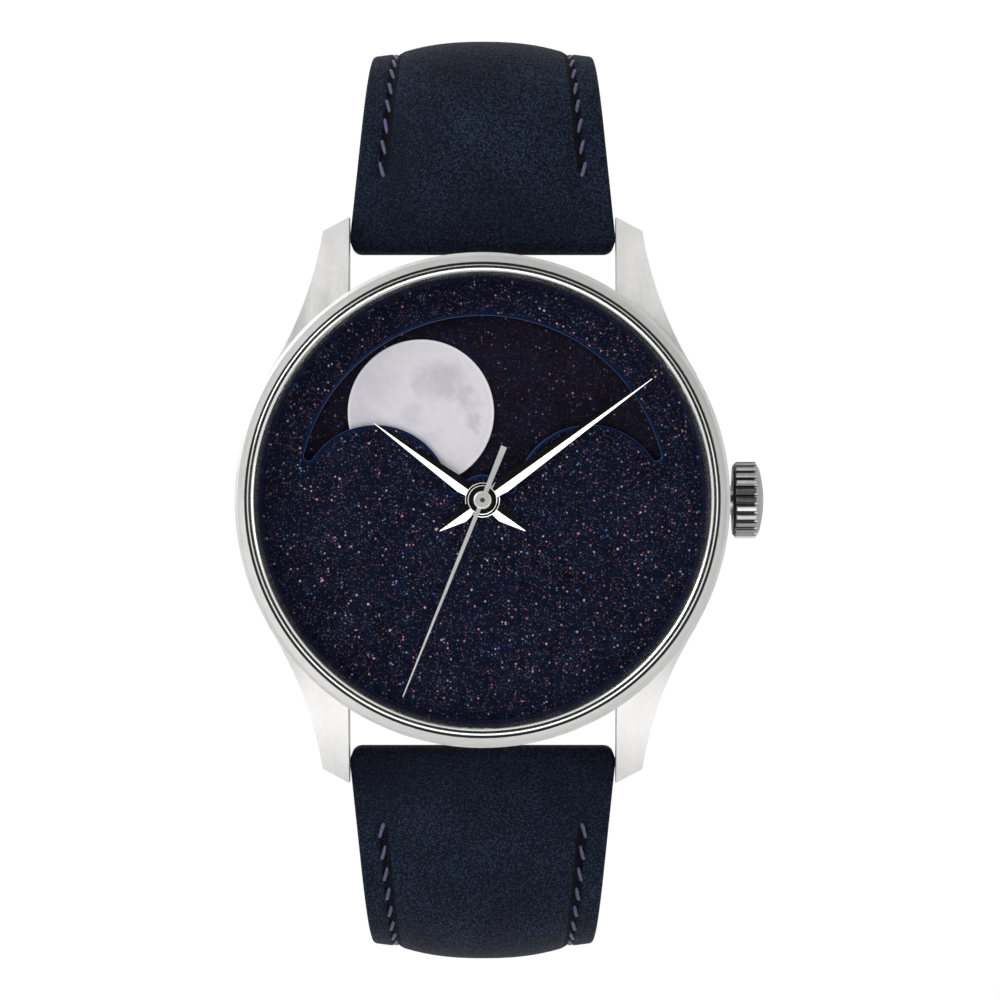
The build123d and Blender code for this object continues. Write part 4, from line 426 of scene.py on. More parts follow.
def fleck_glass(name, tones, gain):
    """Dark glass full of flecks, its ground drifting between two tones, and its colour."""
    glass = Material(name, Roughness=0.3, Specular_IOR_Level=0.05)
    cloud = glass.noise(420.0, 6.0, Roughness=0.7)[0]
    ground = glass.blend(glass.span(cloud, 0.3, 0.7), *tones)
    flecks = glass.group(glass_flecks_and_glints)
    colour = glass.blend(glass.sum("MULTIPLY", flecks["Mask"], gain, clamp=True), ground, flecks["Color"])
    glass.set("Base Color", colour)
    return glass, colour


glass_flecks_and_glints = flecks_effect()
dress(fleck_glass("night_disc", night_tones, night_gain)[0], "moon_disc")


def moon_point(side, across=0.0, up=0.0):
    """A place on one of the two moons, in moon radii from its middle."""
    angle = math.radians(moon_angle)
    x = moon_offset * math.cos(angle) + across * moon_radius
    y = moon_offset * math.sin(angle) + up * moon_radius
    return side * x, side * y, 0


moon_face = Material("moon_face", Roughness=0.7)
wander = moon_face.noise(520.0, 5.0, Roughness=0.65)["Color"]
wander = moon_face.scaled(moon_face.vector("SUBTRACT", wander, (0.5, 0.5, 0.5)), shore_shift)
shore_place = moon_face.vector("ADD", moon_face.place(), wander)
shore_place = moon_face.vector("MULTIPLY", shore_place, (1, 1, 0))
flat_place = moon_face.vector("MULTIPLY", moon_face.place(), (1, 1, 0))
sea_share, from_middle = 0.0, 1.0
for side in (1, -1):
    for across, up, reach, depth in moon_seas:
        away = moon_face.measure("DISTANCE", shore_place, moon_point(side, across, up))
        sea = moon_face.span(away, sea_core * reach * moon_radius, reach * moon_radius, depth, 0.0)
        sea_share = moon_face.sum("MAXIMUM", sea_share, sea)
    away = moon_face.measure("DISTANCE", flat_place, moon_point(side))
    from_middle = moon_face.sum("MINIMUM", from_middle, away)
patches = moon_face.span(moon_face.noise(1500.0, 6.0, Roughness=0.7)[0], 0.35, 0.7, 0.0, 0.3)
grey_share = moon_face.sum("ADD", sea_share, patches, clamp=True)
# Painted highlight: a lighter band round each moon's rim stands in for the light caught by its edge.
rim_highlight_share = moon_face.span(from_middle, rim_from * moon_radius, rim_to * moon_radius, 0.0, 0.7)
moon_ground = moon_face.blend(grey_share, moon_light, moon_grey)
moon_face.set("Base Color", moon_face.blend(rim_highlight_share, moon_ground, moon_rim_highlight))
moon_face.bump(grey_share, 0.00003)
dress(moon_face, "moons")

# Dial: a thin plate of dark blue glass full of copper flecks with painted glints, with the moon window cut
# through.
# The window's bevel is polished blue, with a painted highlight line where it meets the wall of the cut.
dial_tones = ((0.003, 0.0035, 0.009, 1), (0.0055, 0.008, 0.024, 1))
dial_gain = 1.35
bevel_blue = (0.007, 0.022, 0.085, 1)
bevel_highlight = (0.13, 0.18, 0.32, 1)
bevel_highlight_z = 0.00831
flat_facing, wall_facing = 0.95, 0.3
dial_glass, dial_colour = fleck_glass("dial_glass", dial_tones, dial_gain)
dial_facing = dial_glass.facing_up()
not_flat = dial_glass.sum("LESS_THAN", dial_facing, flat_facing)
not_wall = dial_glass.sum("GREATER_THAN", dial_facing, wall_facing)
on_bevel = dial_glass.sum("MULTIPLY", not_flat, not_wall)
# Painted highlight: the lowest strip of the bevel is lighter, standing in for light caught by its edge.
on_highlight_line = dial_glass.sum("LESS_THAN", dial_glass.split()[2], bevel_highlight_z)
bevel_colour = dial_glass.blend(on_highlight_line, bevel_blue, bevel_highlight)
dial_glass.set("Base Color", dial_glass.blend(on_bevel, dial_colour, bevel_colour))
dial_glass.set("Metallic", dial_glass.sum("MULTIPLY", on_bevel, 0.6))
dress(dial_glass, "dial")

# Hands: steel lances ground to two facets and polished, and a thin seconds hand with a round cap.
# All three are pressed on their pipes.
hand_edge = 0.00006
hand_slope = 0.24
hand_tip_width = 0.00004
hand_tail = 0.0043
hand_tail_width = 0.00007
hand_root = 0.0021
hand_waist = 0.00106
waist_share = 0.75
bore_share = 0.7
hub_height = 0.0002
hub_bevel = 0.00006
hub_shoulder = 0.000176
hub_sides = 96
# Each hand's turn in degrees, then its foot height, reach, half width, hub radius and bore radius.
hands = {
    "hour_hand": (54.6, 0.00862, 0.0108, 0.00062, 0.00142, 0.00115),
    "minute_hand": (-54.4, 0.00905, 0.017, 0.00064, 0.0012, 0.0008),
}
hand_steel = Material("hand_steel", Metallic=1.0, Base_Color=(0.88, 0.88, 0.86, 1))
hand_steel.set("Normal", hand_steel.add("NewGeometry").outputs["True Normal"])
hand_steel.set("Roughness", hand_steel.span(hand_steel.group(handling_marks)["Marks"], 0, 1, 0.05, 0.12))


def tube_faces(rows, count, first=0, looped=False):
    """Faces along rings of points, the rings joined into a loop or capped at both ends."""
    faces = []
    for row in range(rows if looped else rows - 1):
        here, there = first + row * count, first + (row + 1) % rows * count
        for index in range(count):
            after = (index + 1) % count
            faces.append((here + index, here + after, there + after, there + index))
    if not looped:
        faces.append(tuple(first + index for index in reversed(range(count))))
        faces.append(tuple(first + (rows - 1) * count + index for index in range(count)))
    return faces


def closed_mesh(name, points, faces, *materials, smooth=True):
    """A closed mesh in the scene, with all its faces turned outward."""
    mesh = bpy.data.meshes.new(name)
    mesh.from_pydata([tuple(point) for point in points], [], faces)
    mesh.validate()
    mesh.update()
    piece = bpy.data.objects.new(name, mesh)
    bpy.context.scene.collection.objects.link(piece)
    bpy.context.view_layer.objects.active = piece
    bpy.ops.object.select_all(action="DESELECT")
    piece.select_set(True)
    bpy.ops.object.mode_set(mode="EDIT")
    bpy.ops.mesh.select_all(action="SELECT")
    bpy.ops.mesh.normals_make_consistent(inside=False)
    bpy.ops.object.mode_set(mode="OBJECT")
    mesh.polygons.foreach_set("use_smooth", [smooth] * len(mesh.polygons))
    for material in materials:
        mesh.materials.append(material.made)
    return piece


def lance_hand(name, turn, low, reach, half_width, hub_radius, bore_radius):
    """A pointed blade and tail with a ridge down the middle, on a bevelled hub with a bored hole."""
    points, faces = [], []
    run = Vector((-math.sin(math.radians(turn)), math.cos(math.radians(turn)), 0))
    across = Vector((run.y, -run.x, 0))
    for side, tip, tip_width in ((1, reach, hand_tip_width), (-1, hand_tail, hand_tail_width)):
        neck = ((bore_radius, bore_share), (hand_waist, waist_share), (hand_root, 1.0))
        blade = neck + ((tip, tip_width / half_width),)
        faces += tube_faces(len(blade), 5, len(points))
        for along, share in blade:
            wide = half_width * share
            ridge = hand_edge + wide * hand_slope
            for out, up in ((-wide, 0.0), (-wide, hand_edge), (0.0, ridge), (wide, hand_edge), (wide, 0.0)):
                points.append(run * (side * along) + across * out + Vector((0, 0, low + up)))
    ring = (
        (bore_radius, 0.0),
        (hub_radius, 0.0),
        (hub_radius, hub_shoulder),
        (hub_radius - hub_bevel, hub_height),
        (bore_radius, hub_height),
    )
    faces += tube_faces(hub_sides, len(ring), len(points), looped=True)
    for step in range(hub_sides):
        angle = 2 * math.pi * step / hub_sides
        points += [Vector((out * math.cos(angle), out * math.sin(angle), low + up)) for out, up in ring]
    return closed_mesh(name, points, faces, hand_steel, smooth=False)


for node, sizes in hands.items():
    hand = lance_hand(f"{node}_lance", *sizes)
    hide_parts(node)
    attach(hand, node.removesuffix("_hand"))


def polished_steel(name, colour, worn, low_rough, high_rough):
    """Polished steel with faint handling marks, and its marked colour."""
    steel = Material(name, Metallic=1.0)
    marks = steel.group(handling_marks)["Marks"]
    marked = steel.blend(marks, colour, worn)
    steel.set("Base Color", marked)
    steel.set("Roughness", steel.span(marks, 0, 1, low_rough, high_rough))
    return steel, marked


seconds_steel, _ = polished_steel("seconds_steel", (1.0, 1.0, 0.98, 1), (0.93, 0.93, 0.91, 1), 0.42, 0.5)
dress(seconds_steel, "seconds_hand")

# Flange, bezel and glass: a polished dark flange leads up to the domed glass.
# The polished steel bezel holds the glass and is pressed into the case, with painted shade darkening its
# outer wall at the foot.
flange_tones = ((0.006, 0.008, 0.02, 1), (0.012, 0.016, 0.045, 1))
bezel_foot_radius = 0.01912
bezel_shade_radius = 0.0192
bezel_colour = (0.86, 0.86, 0.85, 1)
bezel_worn = (0.8, 0.8, 0.79, 1)
foot_shade_colour = (0.012, 0.012, 0.014, 1)
crystal_tint = (0.985, 0.985, 1.0, 1)
dress(clouded("flange_blue", 900.0, flange_tones, Roughness=0.16, Coat_Weight=0.5)[0], "dial_flange")
bezel_steel, bezel_marked = polished_steel("bezel_steel", bezel_colour, bezel_worn, 0.16, 0.24)
bezel_radius = bezel_steel.radius(*bezel_steel.split()[:2])
# Painted shade: the bezel's outer wall near its foot is darkened, standing in for the shadow in the gap where
# it meets the case.
in_foot_shade = bezel_steel.span(bezel_radius, bezel_foot_radius, bezel_shade_radius, 0.0, 0.97)
seen_from_above = bezel_steel.span(bezel_steel.facing_up(), 0.2, 0.35)
foot_shade_share = bezel_steel.sum("MULTIPLY", in_foot_shade, seen_from_above)
bezel_steel.set("Base Color", bezel_steel.blend(foot_shade_share, bezel_marked, foot_shade_colour))
dress(bezel_steel, "bezel")
dress(clear_glass("crystal_glass", crystal_tint, 1.12), "crystal")

# Crown: a turned and fluted steel button on the winding stem.
# Painted shade darkens the bottoms of its flutes, which run out in the polished domed cap.
crown_axis_z = 0.0054
crown_colour = (0.62, 0.62, 0.615, 1)
crown_worn = (0.5, 0.5, 0.495, 1)
flute_shade_colour = (0.01, 0.01, 0.01, 1)
flute_foot = 0.003
flute_crest = 0.0031
flutes_end = 0.0222
cap_start = 0.0224
crown_steel, crown_marked = polished_steel("crown_steel", crown_colour, crown_worn, 0.28, 0.36)
crown_x, crown_y, crown_z = crown_steel.split()
crown_radius = crown_steel.radius(crown_y, crown_steel.sum("SUBTRACT", crown_z, crown_axis_z))
# Painted shade: the flutes' bottoms are darkened towards black, standing in for the shadow in the grooves.
in_flute_shade = crown_steel.span(crown_radius, flute_foot, flute_crest, 0.96, 0.0)
flute_shade_share = crown_steel.sum(
    "MULTIPLY", in_flute_shade, crown_steel.span(crown_x, flutes_end, cap_start, 1.0, 0.0)
)
crown_steel.set("Base Color", crown_steel.blend(flute_shade_share, crown_marked, flute_shade_colour))
dress(crown_steel, "crown")

# Spring bars: thin telescopic steel bars through the strap ends, with their tips in the lugs.
# The buckle's bar is of the same kind.
bar_steel = satin_steel("bar_steel", (0.6, 0.6, 0.6, 1), (300, 6000, 6000), 0.2, 0.32)
dress(bar_steel, "spring_bars", "buckle_bar")

# Strap leather: two padded halves of navy calf with a fine grain, turned round the spring bars.
# The skin dips in a sewn channel along each edge, where the stitches pull it into small puckers.
bar_y, bar_z = 0.0217, 0.0026
first_heading = -8.0
short_length = 0.075
long_length = 0.115
# Each bend's share of the length and its turn in degrees, from the lugs down.
short_bend_shares = ((0.027, 0), (0.083, -14), (0.084, -29), (0.098, -42), (0.32, -3), (0.388, 0))
long_bend_shares = ((0.0176, 0), (0.0541, -14), (0.0548, -29), (0.0639, -42), (0.3096, -3), (0.5, -2))
tail_axis_at = short_length - 0.0012
strap_halves = {
    "12": (short_bend_shares, short_length, 1, tail_axis_at, False),
    "6": (long_bend_shares, long_length, -1, long_length, True),
}
end_half_width = 0.01095
tail_half_width = 0.009
taper_length = 0.028
taper_power = 1.5
end_radius = 0.00142
end_corner = 0.0011
tip_length = 0.009
tip_half_width = 0.0016
swell_length = 0.005
padding_length = 0.045
padding_power = 1.2
bar_thickness = 0.0029
padded_thickness = 0.0041
tail_thickness = 0.0023
edge_share = 0.96
edge_drop = 0.34
margin_rise = 0.2
swell_power = 2.4
swell_least_width = 0.0005
middle_swell_width = 0.0085
corner_round = 0.0003
stitch_inset = 0.00205
stitch_pitch = 0.0019
stitch_start = 0.0053
channel_depth = 0.00042
channel_half_width = 0.00026
channel_from = 0.0016
channel_to = 0.0024
channel_lead = 0.0004
channel_ease_in = 0.0006
channel_ease_out = 0.002
channel_to_end = 0.004
channel_shade_to_end = 0.006
pucker_share = 0.25
bank_width = 0.0008
bank_height = 0.00003
bank_turn = 0.8
row_pitch = 0.0003
tip_rows = (0.0011, 0.0008, 0.00055, 0.00035, 0.00018, 0.00006, 0.0)
margin_insets = (0.0, 0.00005, 0.00014, 0.00028, 0.00045, 0.0008, 0.0012, 0.00155, 0.0018, 0.00195, 0.00205)
inner_insets = (0.00215, 0.00232, 0.0026, 0.003, 0.0035, 0.0042)
insets_width = 0.0062
middle_steps = 8
nose_steps = 8
turned_in = 0.0001
layer_gap = 0.00002
lining_top = -0.00055
lining_from = 0.0017
crease_from = 0.0074
crease_full = 0.0086
crease_stretch = (420, 3300, 3300)
lug_shade_from = 0.0215
lug_shade_to = 0.0285
grain_shift = 0.0006
navy_tones = ((0.002, 0.0042, 0.0125, 1), (0.026, 0.044, 0.09, 1))
channel_shade_tones = ((0.0009, 0.0014, 0.004, 1), (0.006, 0.009, 0.022, 1))


def strap_frame(bend_shares, length, side, along):
    """The strap's middle point, running direction and skin direction at a distance from its bar."""
    reach, height, heading = bar_y, bar_z, first_heading
    left = along
    for share, turn in bend_shares:
        run = min(left, share * length) if left > 0 else left
        swing = math.radians(turn * run / (share * length))
        chord = 2 * run * math.sin(swing / 2) / swing if swing else run
        middle = math.radians(heading) + swing / 2
        reach += chord * math.cos(middle)
        height += chord * math.sin(middle)
        heading += math.degrees(swing)
        left -= run
        if left <= 0:
            break
    turned = math.radians(heading)
    along_way = Vector((0, side * math.cos(turned), math.sin(turned)))
    skin_way = Vector((0, -side * math.sin(turned), math.cos(turned)))
    return Vector((0, side * reach, height)), along_way, skin_way


def strap_width(along, length, tipped):
    """Half the strap's width there."""
    left = max(0.0, 1 - max(0.0, along) / taper_length)
    width = tail_half_width + (end_half_width - tail_half_width) * left**taper_power
    past = (along - (length - tip_length)) / tip_length
    if tipped and past > 0:
        width = tip_half_width + (width - tip_half_width) * math.sqrt(max(0.0, 1 - past * past))
    bite = (end_corner - end_radius - along) / end_corner
    if bite > 0:
        width -= end_corner * (1 - math.sqrt(max(0.0, 1 - bite * bite)))
    return width


def strap_thickness(along):
    """The strap's full thickness there."""
    if along < swell_length:
        return bar_thickness + (padded_thickness - bar_thickness) * max(0.0, along) / swell_length
    left = max(0.0, 1 - (along - swell_length) / padding_length)
    return tail_thickness + (padded_thickness - tail_thickness) * left**padding_power


def skin_height(along, inset, width, seam_end):
    """Height of the skin side over the strap's middle line, at a distance in from the edge."""
    top = strap_thickness(along) - end_radius
    settle = min(1.0, max(0.0, along) / swell_length)
    edge = strap_thickness(along) * (edge_share - edge_drop * settle) - end_radius
    rise = (top - edge) * min(1.0, width / middle_swell_width)
    if inset < stitch_inset:
        height = edge + rise * margin_rise * (inset / stitch_inset)
    else:
        share = (inset - stitch_inset) / max(swell_least_width, width - stitch_inset)
        swell = 1 - max(0.0, 1 - share) ** swell_power
        height = edge + rise * (margin_rise + (1 - margin_rise) * swell)
    if inset < corner_round:
        height -= corner_round - math.sqrt(corner_round**2 - (corner_round - inset) ** 2)
    sewn = min(1.0, max(0.0, (along - stitch_start + channel_lead) / channel_ease_in))
    sewn *= min(1.0, max(0.0, (seam_end - along) / channel_ease_out))
    wave = 2 * math.pi * (along - stitch_start) / stitch_pitch
    off = inset - stitch_inset
    pull = 1 - pucker_share + pucker_share * math.cos(wave)
    channel = channel_depth * pull * math.exp(-((off / channel_half_width) ** 2))
    bank = bank_height * math.sin(wave + bank_turn) * math.exp(-((off / bank_width) ** 2))
    return height + sewn * (bank - channel)


def across_insets(width, shrink):
    """Distances in from the edge where the strap's cross section has a point, out to its middle."""
    near = [inset * shrink for inset in margin_insets + inner_insets]
    rest = [near[-1] + (width - near[-1]) * (step + 1) / middle_steps for step in range(middle_steps)]
    return near + rest


def ease_tip(rows, end, tipped):
    """Sets the rows of a half with a rounded tip close together there."""
    if not tipped:
        return rows
    return [along for along in rows if along < end - tip_rows[0]] + [end - left for left in tip_rows]


def strap_mesh(name, rings, *materials):
    """A closed mesh through rings of points, capped at both ends."""
    points = [point for ring in rings for point in ring]
    return closed_mesh(name, points, tube_faces(len(rings), len(rings[0])), *materials)


def leather_half(name, bend_shares, length, side, end, tipped):
    """The skin of one strap half with its turned end, and painted shade in its sewn channel from a darker
    copy of the leather.
    """
    body = int((end - lining_from) / row_pitch)
    rows = [-end_radius * math.cos(math.radians(step * 90 / nose_steps)) for step in range(nose_steps)]
    rows += [row_pitch * step for step in range(int(lining_from / row_pitch) + 1)]
    rows += [lining_from, lining_from + layer_gap / 2]
    rows += [lining_from + (end - lining_from) * (step + 1) / body for step in range(body)]
    rows = ease_tip(rows, end, tipped)
    rings = []
    for along in rows:
        centre, run_way, skin_way = strap_frame(bend_shares, length, side, max(0.0, along))
        centre = centre + run_way * min(0.0, along)
        width = strap_width(along, length, tipped)
        shrink = min(1.0, width / insets_width)
        squeeze = math.sqrt(max(0.0, 1 - (min(0.0, along) / end_radius) ** 2))
        under = lining_top if along > lining_from else -end_radius * squeeze
        upper = []
        for inset in across_insets(width, shrink):
            height = skin_height(max(0.0, along), inset / shrink, width, end - channel_to_end) * squeeze
            upper.append((width - inset, max(height, under + layer_gap)))
        upper += [(-x, height) for x, height in reversed(upper[:-1])]
        lower = [(x, under) for x in (turned_in - width, -width / 2, 0, width / 2, width - turned_in)]
        rings.append([centre + skin_way * height + Vector((x, 0, 0)) for x, height in upper + lower])
    skin = strap_mesh(name, rings, navy_leather, channel_shade_leather)
    insets = margin_insets + inner_insets
    near = [index for index, inset in enumerate(insets) if channel_from < inset < channel_to]
    last = 2 * (len(insets) + middle_steps) - 3
    columns = set(near) | {last - index for index in near}
    for polygon in skin.data.polygons:
        if len(polygon.vertices) == 4:
            row, column = divmod(min(polygon.vertices), len(rings[0]))
            # Painted shade: faces in the sewn channel take the darker leather, standing in for the shadow in
            # the groove.
            if column in columns and stitch_start - stitch_pitch / 4 < rows[row] < end - channel_shade_to_end:
                polygon.material_index = 1
    return skin


def leather_effect():
    """Fine calf grain: small pebbles broken by short creases, with a colour that drifts a little; the pebble
    tops are painted lighter as glints and the hollows darker as shade.
    """
    make, take, give = effect(
        "calf_grain", {"Vector": "Vector", "Pebbles": "Float"}, {"Shade": "Float", "Height": "Float"}
    )
    drift = make.noise(900.0, 3.0, take["Vector"], Distortion=0.6)["Color"]
    seat = make.vector("ADD", take["Vector"], make.scaled(drift, grain_shift))
    cells = make.add("TexVoronoi", {"feature": "F1"}, Vector=seat, Scale=take["Pebbles"])
    fine = make.noise(5200.0, 3.0, take["Vector"])[0]
    broad = make.noise(160.0, 4.0, take["Vector"])[0]
    pebble = make.span(cells.outputs["Distance"], 0.12, 0.7, 1.0, 0.0)
    height = make.sum("MULTIPLY_ADD", fine, 0.35, make.sum("MULTIPLY", pebble, 0.65))
    # Painted light on the grain: the shade follows the pebbles' height, with lighter tops as painted glints
    # and darker hollows as painted shade, mixed with a broad drift of tone.
    tone = make.sum("MULTIPLY_ADD", broad, 0.35, make.sum("MULTIPLY", height, 0.65))
    make.feed(give, "Shade", make.sum("POWER", make.span(tone, 0.32, 0.68), 1.7))
    make.feed(give, "Height", height)
    return make.tree


def leather(name, tones, pebbles, depth, rough):
    """Grained leather in two close tones, creased across its margins where the thread draws it in, with
    painted shade near the lugs.
    """
    skin = Material(name, Specular_IOR_Level=0.1)
    grain = skin.group(calf_grain, Pebbles=pebbles)
    x, y, _ = skin.split()
    creased = skin.span(skin.sum("ABSOLUTE", x), crease_from, crease_full, 0.0, 0.7)
    creases = skin.noise(1.0, 3.0, skin.vector("MULTIPLY", skin.place(), crease_stretch))[0]
    height = skin.sum("MULTIPLY_ADD", creases, creased, grain["Height"])
    # Painted shade: the leather darkens towards the lug end, standing in for the shadow next to the case
    # where the strap curves down.
    lug_shade_share = skin.span(skin.sum("ABSOLUTE", y), lug_shade_from, lug_shade_to, 0.55, 0.0)
    skin.set("Base Color", skin.blend(lug_shade_share, skin.blend(grain["Shade"], *tones), tones[0]))
    skin.set("Roughness", skin.span(grain["Height"], 0.2, 0.8, rough + 0.1, rough))
    skin.bump(height, depth, 0.8)
    return skin


calf_grain = leather_effect()
navy_leather = leather("navy_leather", navy_tones, 5200.0, 0.0002, 0.42)
channel_shade_leather = leather("channel_shade_leather", channel_shade_tones, 3900.0, 0.0001, 0.6)
leathers = {}
for half, sizes in strap_halves.items():
    skin = leather_half(f"strap_{half}_skin", *sizes)
    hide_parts(f"strap_{half}_leather")
    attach(skin, f"strap_{half}")
    leathers[half] = skin

# Strap lining: smooth undyed calf glued under each half, with softly rounded edges.
# It shows on the wrist side only.
lining_round = 0.00022
lining_tail_gap = 0.00202
lining_tones = ((0.2, 0.135, 0.085, 1), (0.3, 0.21, 0.135, 1))
lining_calf = leather("lining_calf", lining_tones, 3400.0, 0.00002, 0.5)


def lining_half(name, bend_shares, length, side, end, tipped):
    """The thin lining of one strap half."""
    start = lining_from + layer_gap
    count = int((end - start) / (3 * row_pitch))
    rows = [start + (end - start) * step / count for step in range(count + 1)]
    rows = ease_tip(rows, end, tipped)
    rings = []
    for along in rows:
        centre, _, skin_way = strap_frame(bend_shares, length, side, along)
        width = strap_width(along, length, tipped)
        upper, under = lining_top - layer_gap, -end_radius
        outline = [(width, upper), (width, under + lining_round)]
        for angle in (math.radians(30), math.radians(60), math.radians(90)):
            in_by, up_by = lining_round * (1 - math.cos(angle)), lining_round * (1 - math.sin(angle))
            outline.append((width - in_by, under + up_by))
        outline += [(width * share, under) for share in (0.6, 0.25)]
        outline += [(-x, height) for x, height in reversed(outline)]
        outline += [(-width * 0.4, upper), (width * 0.4, upper)]
        rings.append([centre + skin_way * height + Vector((x, 0, 0)) for x, height in outline])
    return strap_mesh(name, rings, lining_calf)


for half, (bend_shares, length, side, end, tipped) in strap_halves.items():
    lining_end = end if tipped else end - lining_tail_gap
    lining = lining_half(f"strap_{half}_under", bend_shares, length, side, lining_end, tipped)
    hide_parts(f"strap_{half}_lining")
    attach(lining, f"strap_{half}")
    leathers[half + "_under"] = lining

# Holes and notch: round punched holes for the buckle's tongue in the long half.
# The short half is slotted at its end, where the tongue turns on the bar.
hole_count = 7
hole_radius = 0.001
hole_pitch = 0.0065
hole_from_tip = 0.03
hole_reach = 0.004
notch_radius = 0.002
notch_half = 0.00125
buckle_lift = -0.00022


def punch(name, centre, way, radius, reach):
    """A round cutter along a direction."""
    bpy.ops.mesh.primitive_cylinder_add(vertices=40, radius=radius, depth=2 * reach, location=centre)
    cutter = bpy.context.object
    cutter.name = name
    cutter.rotation_mode = "QUATERNION"
    cutter.rotation_quaternion = way.to_track_quat("Z", "Y")
    return cutter


def cut_away(piece, cutters):
    """Takes the cutters' shapes out of a piece."""
    for cutter in cutters:
        cut = piece.modifiers.new("cut", "BOOLEAN")
        cut.operation = "DIFFERENCE"
        cut.solver = "EXACT"
        cut.object = cutter
        bpy.context.view_layer.objects.active = piece
        bpy.ops.object.modifier_apply(modifier=cut.name)


hole_cutters = []
for index in range(hole_count):
    along = long_length - hole_from_tip - index * hole_pitch
    centre, _, skin_way = strap_frame(long_bend_shares, long_length, -1, along)
    hole_cutters.append(punch("hole", centre, skin_way, hole_radius, hole_reach))
for key in ("6", "6_under"):
    cut_away(leathers[key], hole_cutters)
centre, _, skin_way = strap_frame(short_bend_shares, short_length, 1, tail_axis_at)
notch = punch("notch", centre + skin_way * buckle_lift, Vector((1, 0, 0)), notch_radius, notch_half)
cut_away(leathers["12"], [notch])
for cutter in hole_cutters + [notch]:
    bpy.data.objects.remove(cutter)

# Stitching: waxed navy thread sewn through both layers, one saddle stitch after another.
# Each stitch lies aslant in the channel and dips into the leather at both ends.
stitch_half_length = 0.00076
stitch_slant = 0.00028
stitch_shares = [step / 3 - 1 for step in range(7)]
skin_dip = 0.00016
lining_dip = 0.00012
seam_slack = 0.0005
seam_step = 0.0001
seam_to_tail = 0.006
seam_to_channel_end = 0.002
thread_radius = 0.00017
thread_lift = 0.7
thread_tip_share = 0.02
thread_sides = 7
thread_tones = ((0.01, 0.01, 0.04, 1), (0.13, 0.127, 0.29, 1))
thread, thread_fibres = clouded("navy_thread", 9000.0, thread_tones, Roughness=0.42, Sheen_Weight=0.4)
thread.bump(thread_fibres, 0.00003)


def seam_path(length, tipped, end):
    """Places of the stitches as distances along the strap and out from its middle, and their direction."""
    line = []
    along = stitch_start
    while along < end:
        out = strap_width(along, length, False) - stitch_inset
        past = (along - (length - tip_length)) / (tip_length - stitch_inset)
        if tipped and past > 0:
            out *= math.sqrt(max(0.0, 1 - past * past))
        line.append((along, out))
        along += seam_step
    places = []
    gone = stitch_pitch
    for before, after in zip(line, line[1:]):
        gone += math.dist(before, after)
        if gone >= stitch_pitch:
            places.append((*after, math.atan2(after[1] - before[1], after[0] - before[0])))
            gone = 0.0
    return places


def sewn_stitches(name, bend_shares, length, side, end, tipped):
    """All the visible stitches of one strap half, on both of its faces."""
    points, faces = [], []
    places = seam_path(length, tipped, end)
    draw = random.Random(12)
    for hand, on_skin in ((1, True), (1, False), (-1, True), (-1, False)):
        for along, out, way in places:
            lean = stitch_slant * draw.uniform(0.8, 1.2)
            faces += tube_faces(len(stitch_shares), thread_sides, len(points))
            for share in stitch_shares:
                run = along + share * stitch_half_length * math.cos(way) - share * lean * math.sin(way) * 0.5
                x = out + share * stitch_half_length * math.sin(way) + share * lean
                centre, _, skin_way = strap_frame(bend_shares, length, side, run)
                if on_skin:
                    width = strap_width(run, length, tipped)
                    inset = stitch_inset if abs(width - x - stitch_inset) < seam_slack else width - x
                    floor = skin_height(run, inset, width, end - seam_to_channel_end)
                    height = floor + thread_radius * thread_lift - skin_dip * share**4
                else:
                    height = -end_radius - layer_gap + lining_dip * share**4
                swell = thread_radius * math.sqrt(max(thread_tip_share, 1 - share**6))
                for corner in range(thread_sides):
                    angle = 2 * math.pi * corner / thread_sides
                    side_on = Vector((hand * (x + swell * math.cos(angle)), 0, 0))
                    points.append(centre + skin_way * (height + swell * math.sin(angle)) + side_on)
    return closed_mesh(name, points, faces, thread)


for half, (bend_shares, length, side, end, tipped) in strap_halves.items():
    seam_end = length - stitch_inset if tipped else end - seam_to_tail
    stitches = sewn_stitches(f"strap_{half}_stitching", bend_shares, length, side, seam_end, tipped)
    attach(stitches, f"strap_{half}")

# Keepers: two loops of the same navy leather round the short half, one sewn fast and one free to slide.
# Each is a folded strip with rounded edges, tall enough for the tail of the long half.
keeper_width = 0.0046
keeper_wall = 0.0011
keeper_room = 0.0027
keeper_gap = 0.00015
keeper_side_gap = 0.0003
keeper_fold = 0.00012
keeper_edge = 0.00035
# Each keeper's body and its distance from the spring bar.
keepers = {"fixed_keeper": ("strap_12", 0.067), "free_keeper": ("free_keeper", 0.058)}


def rounded_outline(half_wide, low, high, corner, steps):
    """Corner middles and outward directions round a rectangle with round corners."""
    outline = []
    for sign_x, sign_h, start in ((1, 1, 0), (-1, 1, 90), (-1, -1, 180), (1, -1, 270)):
        middle = (sign_x * (half_wide - corner), (high if sign_h > 0 else low) - sign_h * corner)
        for step in range(steps + 1):
            angle = math.radians(start + step * 90 / steps)
            outline.append((*middle, math.cos(angle), math.sin(angle)))
    return outline


def keeper_loop(name, at):
    """One leather loop around the short half."""
    centre, run_way, skin_way = strap_frame(short_bend_shares, short_length, 1, at)
    high = strap_thickness(at) - end_radius + keeper_room
    half_wide = strap_width(at - keeper_width, short_length, False) + keeper_side_gap
    outline = rounded_outline(half_wide, -end_radius - keeper_gap, high, keeper_fold, 8)
    section = rounded_outline(keeper_width / 2, 0.0, keeper_wall, keeper_edge, 4)
    points = []
    for x, height, way_x, way_h in outline:
        for run, out, way_run, way_out in section:
            reach = keeper_fold + out + keeper_edge * way_out
            up = skin_way * (height + way_h * reach) + Vector((x + way_x * reach, 0, 0))
            points.append(centre + run_way * (run + keeper_edge * way_run) + up)
    return closed_mesh(name, points, tube_faces(len(outline), len(section), looped=True), navy_leather)


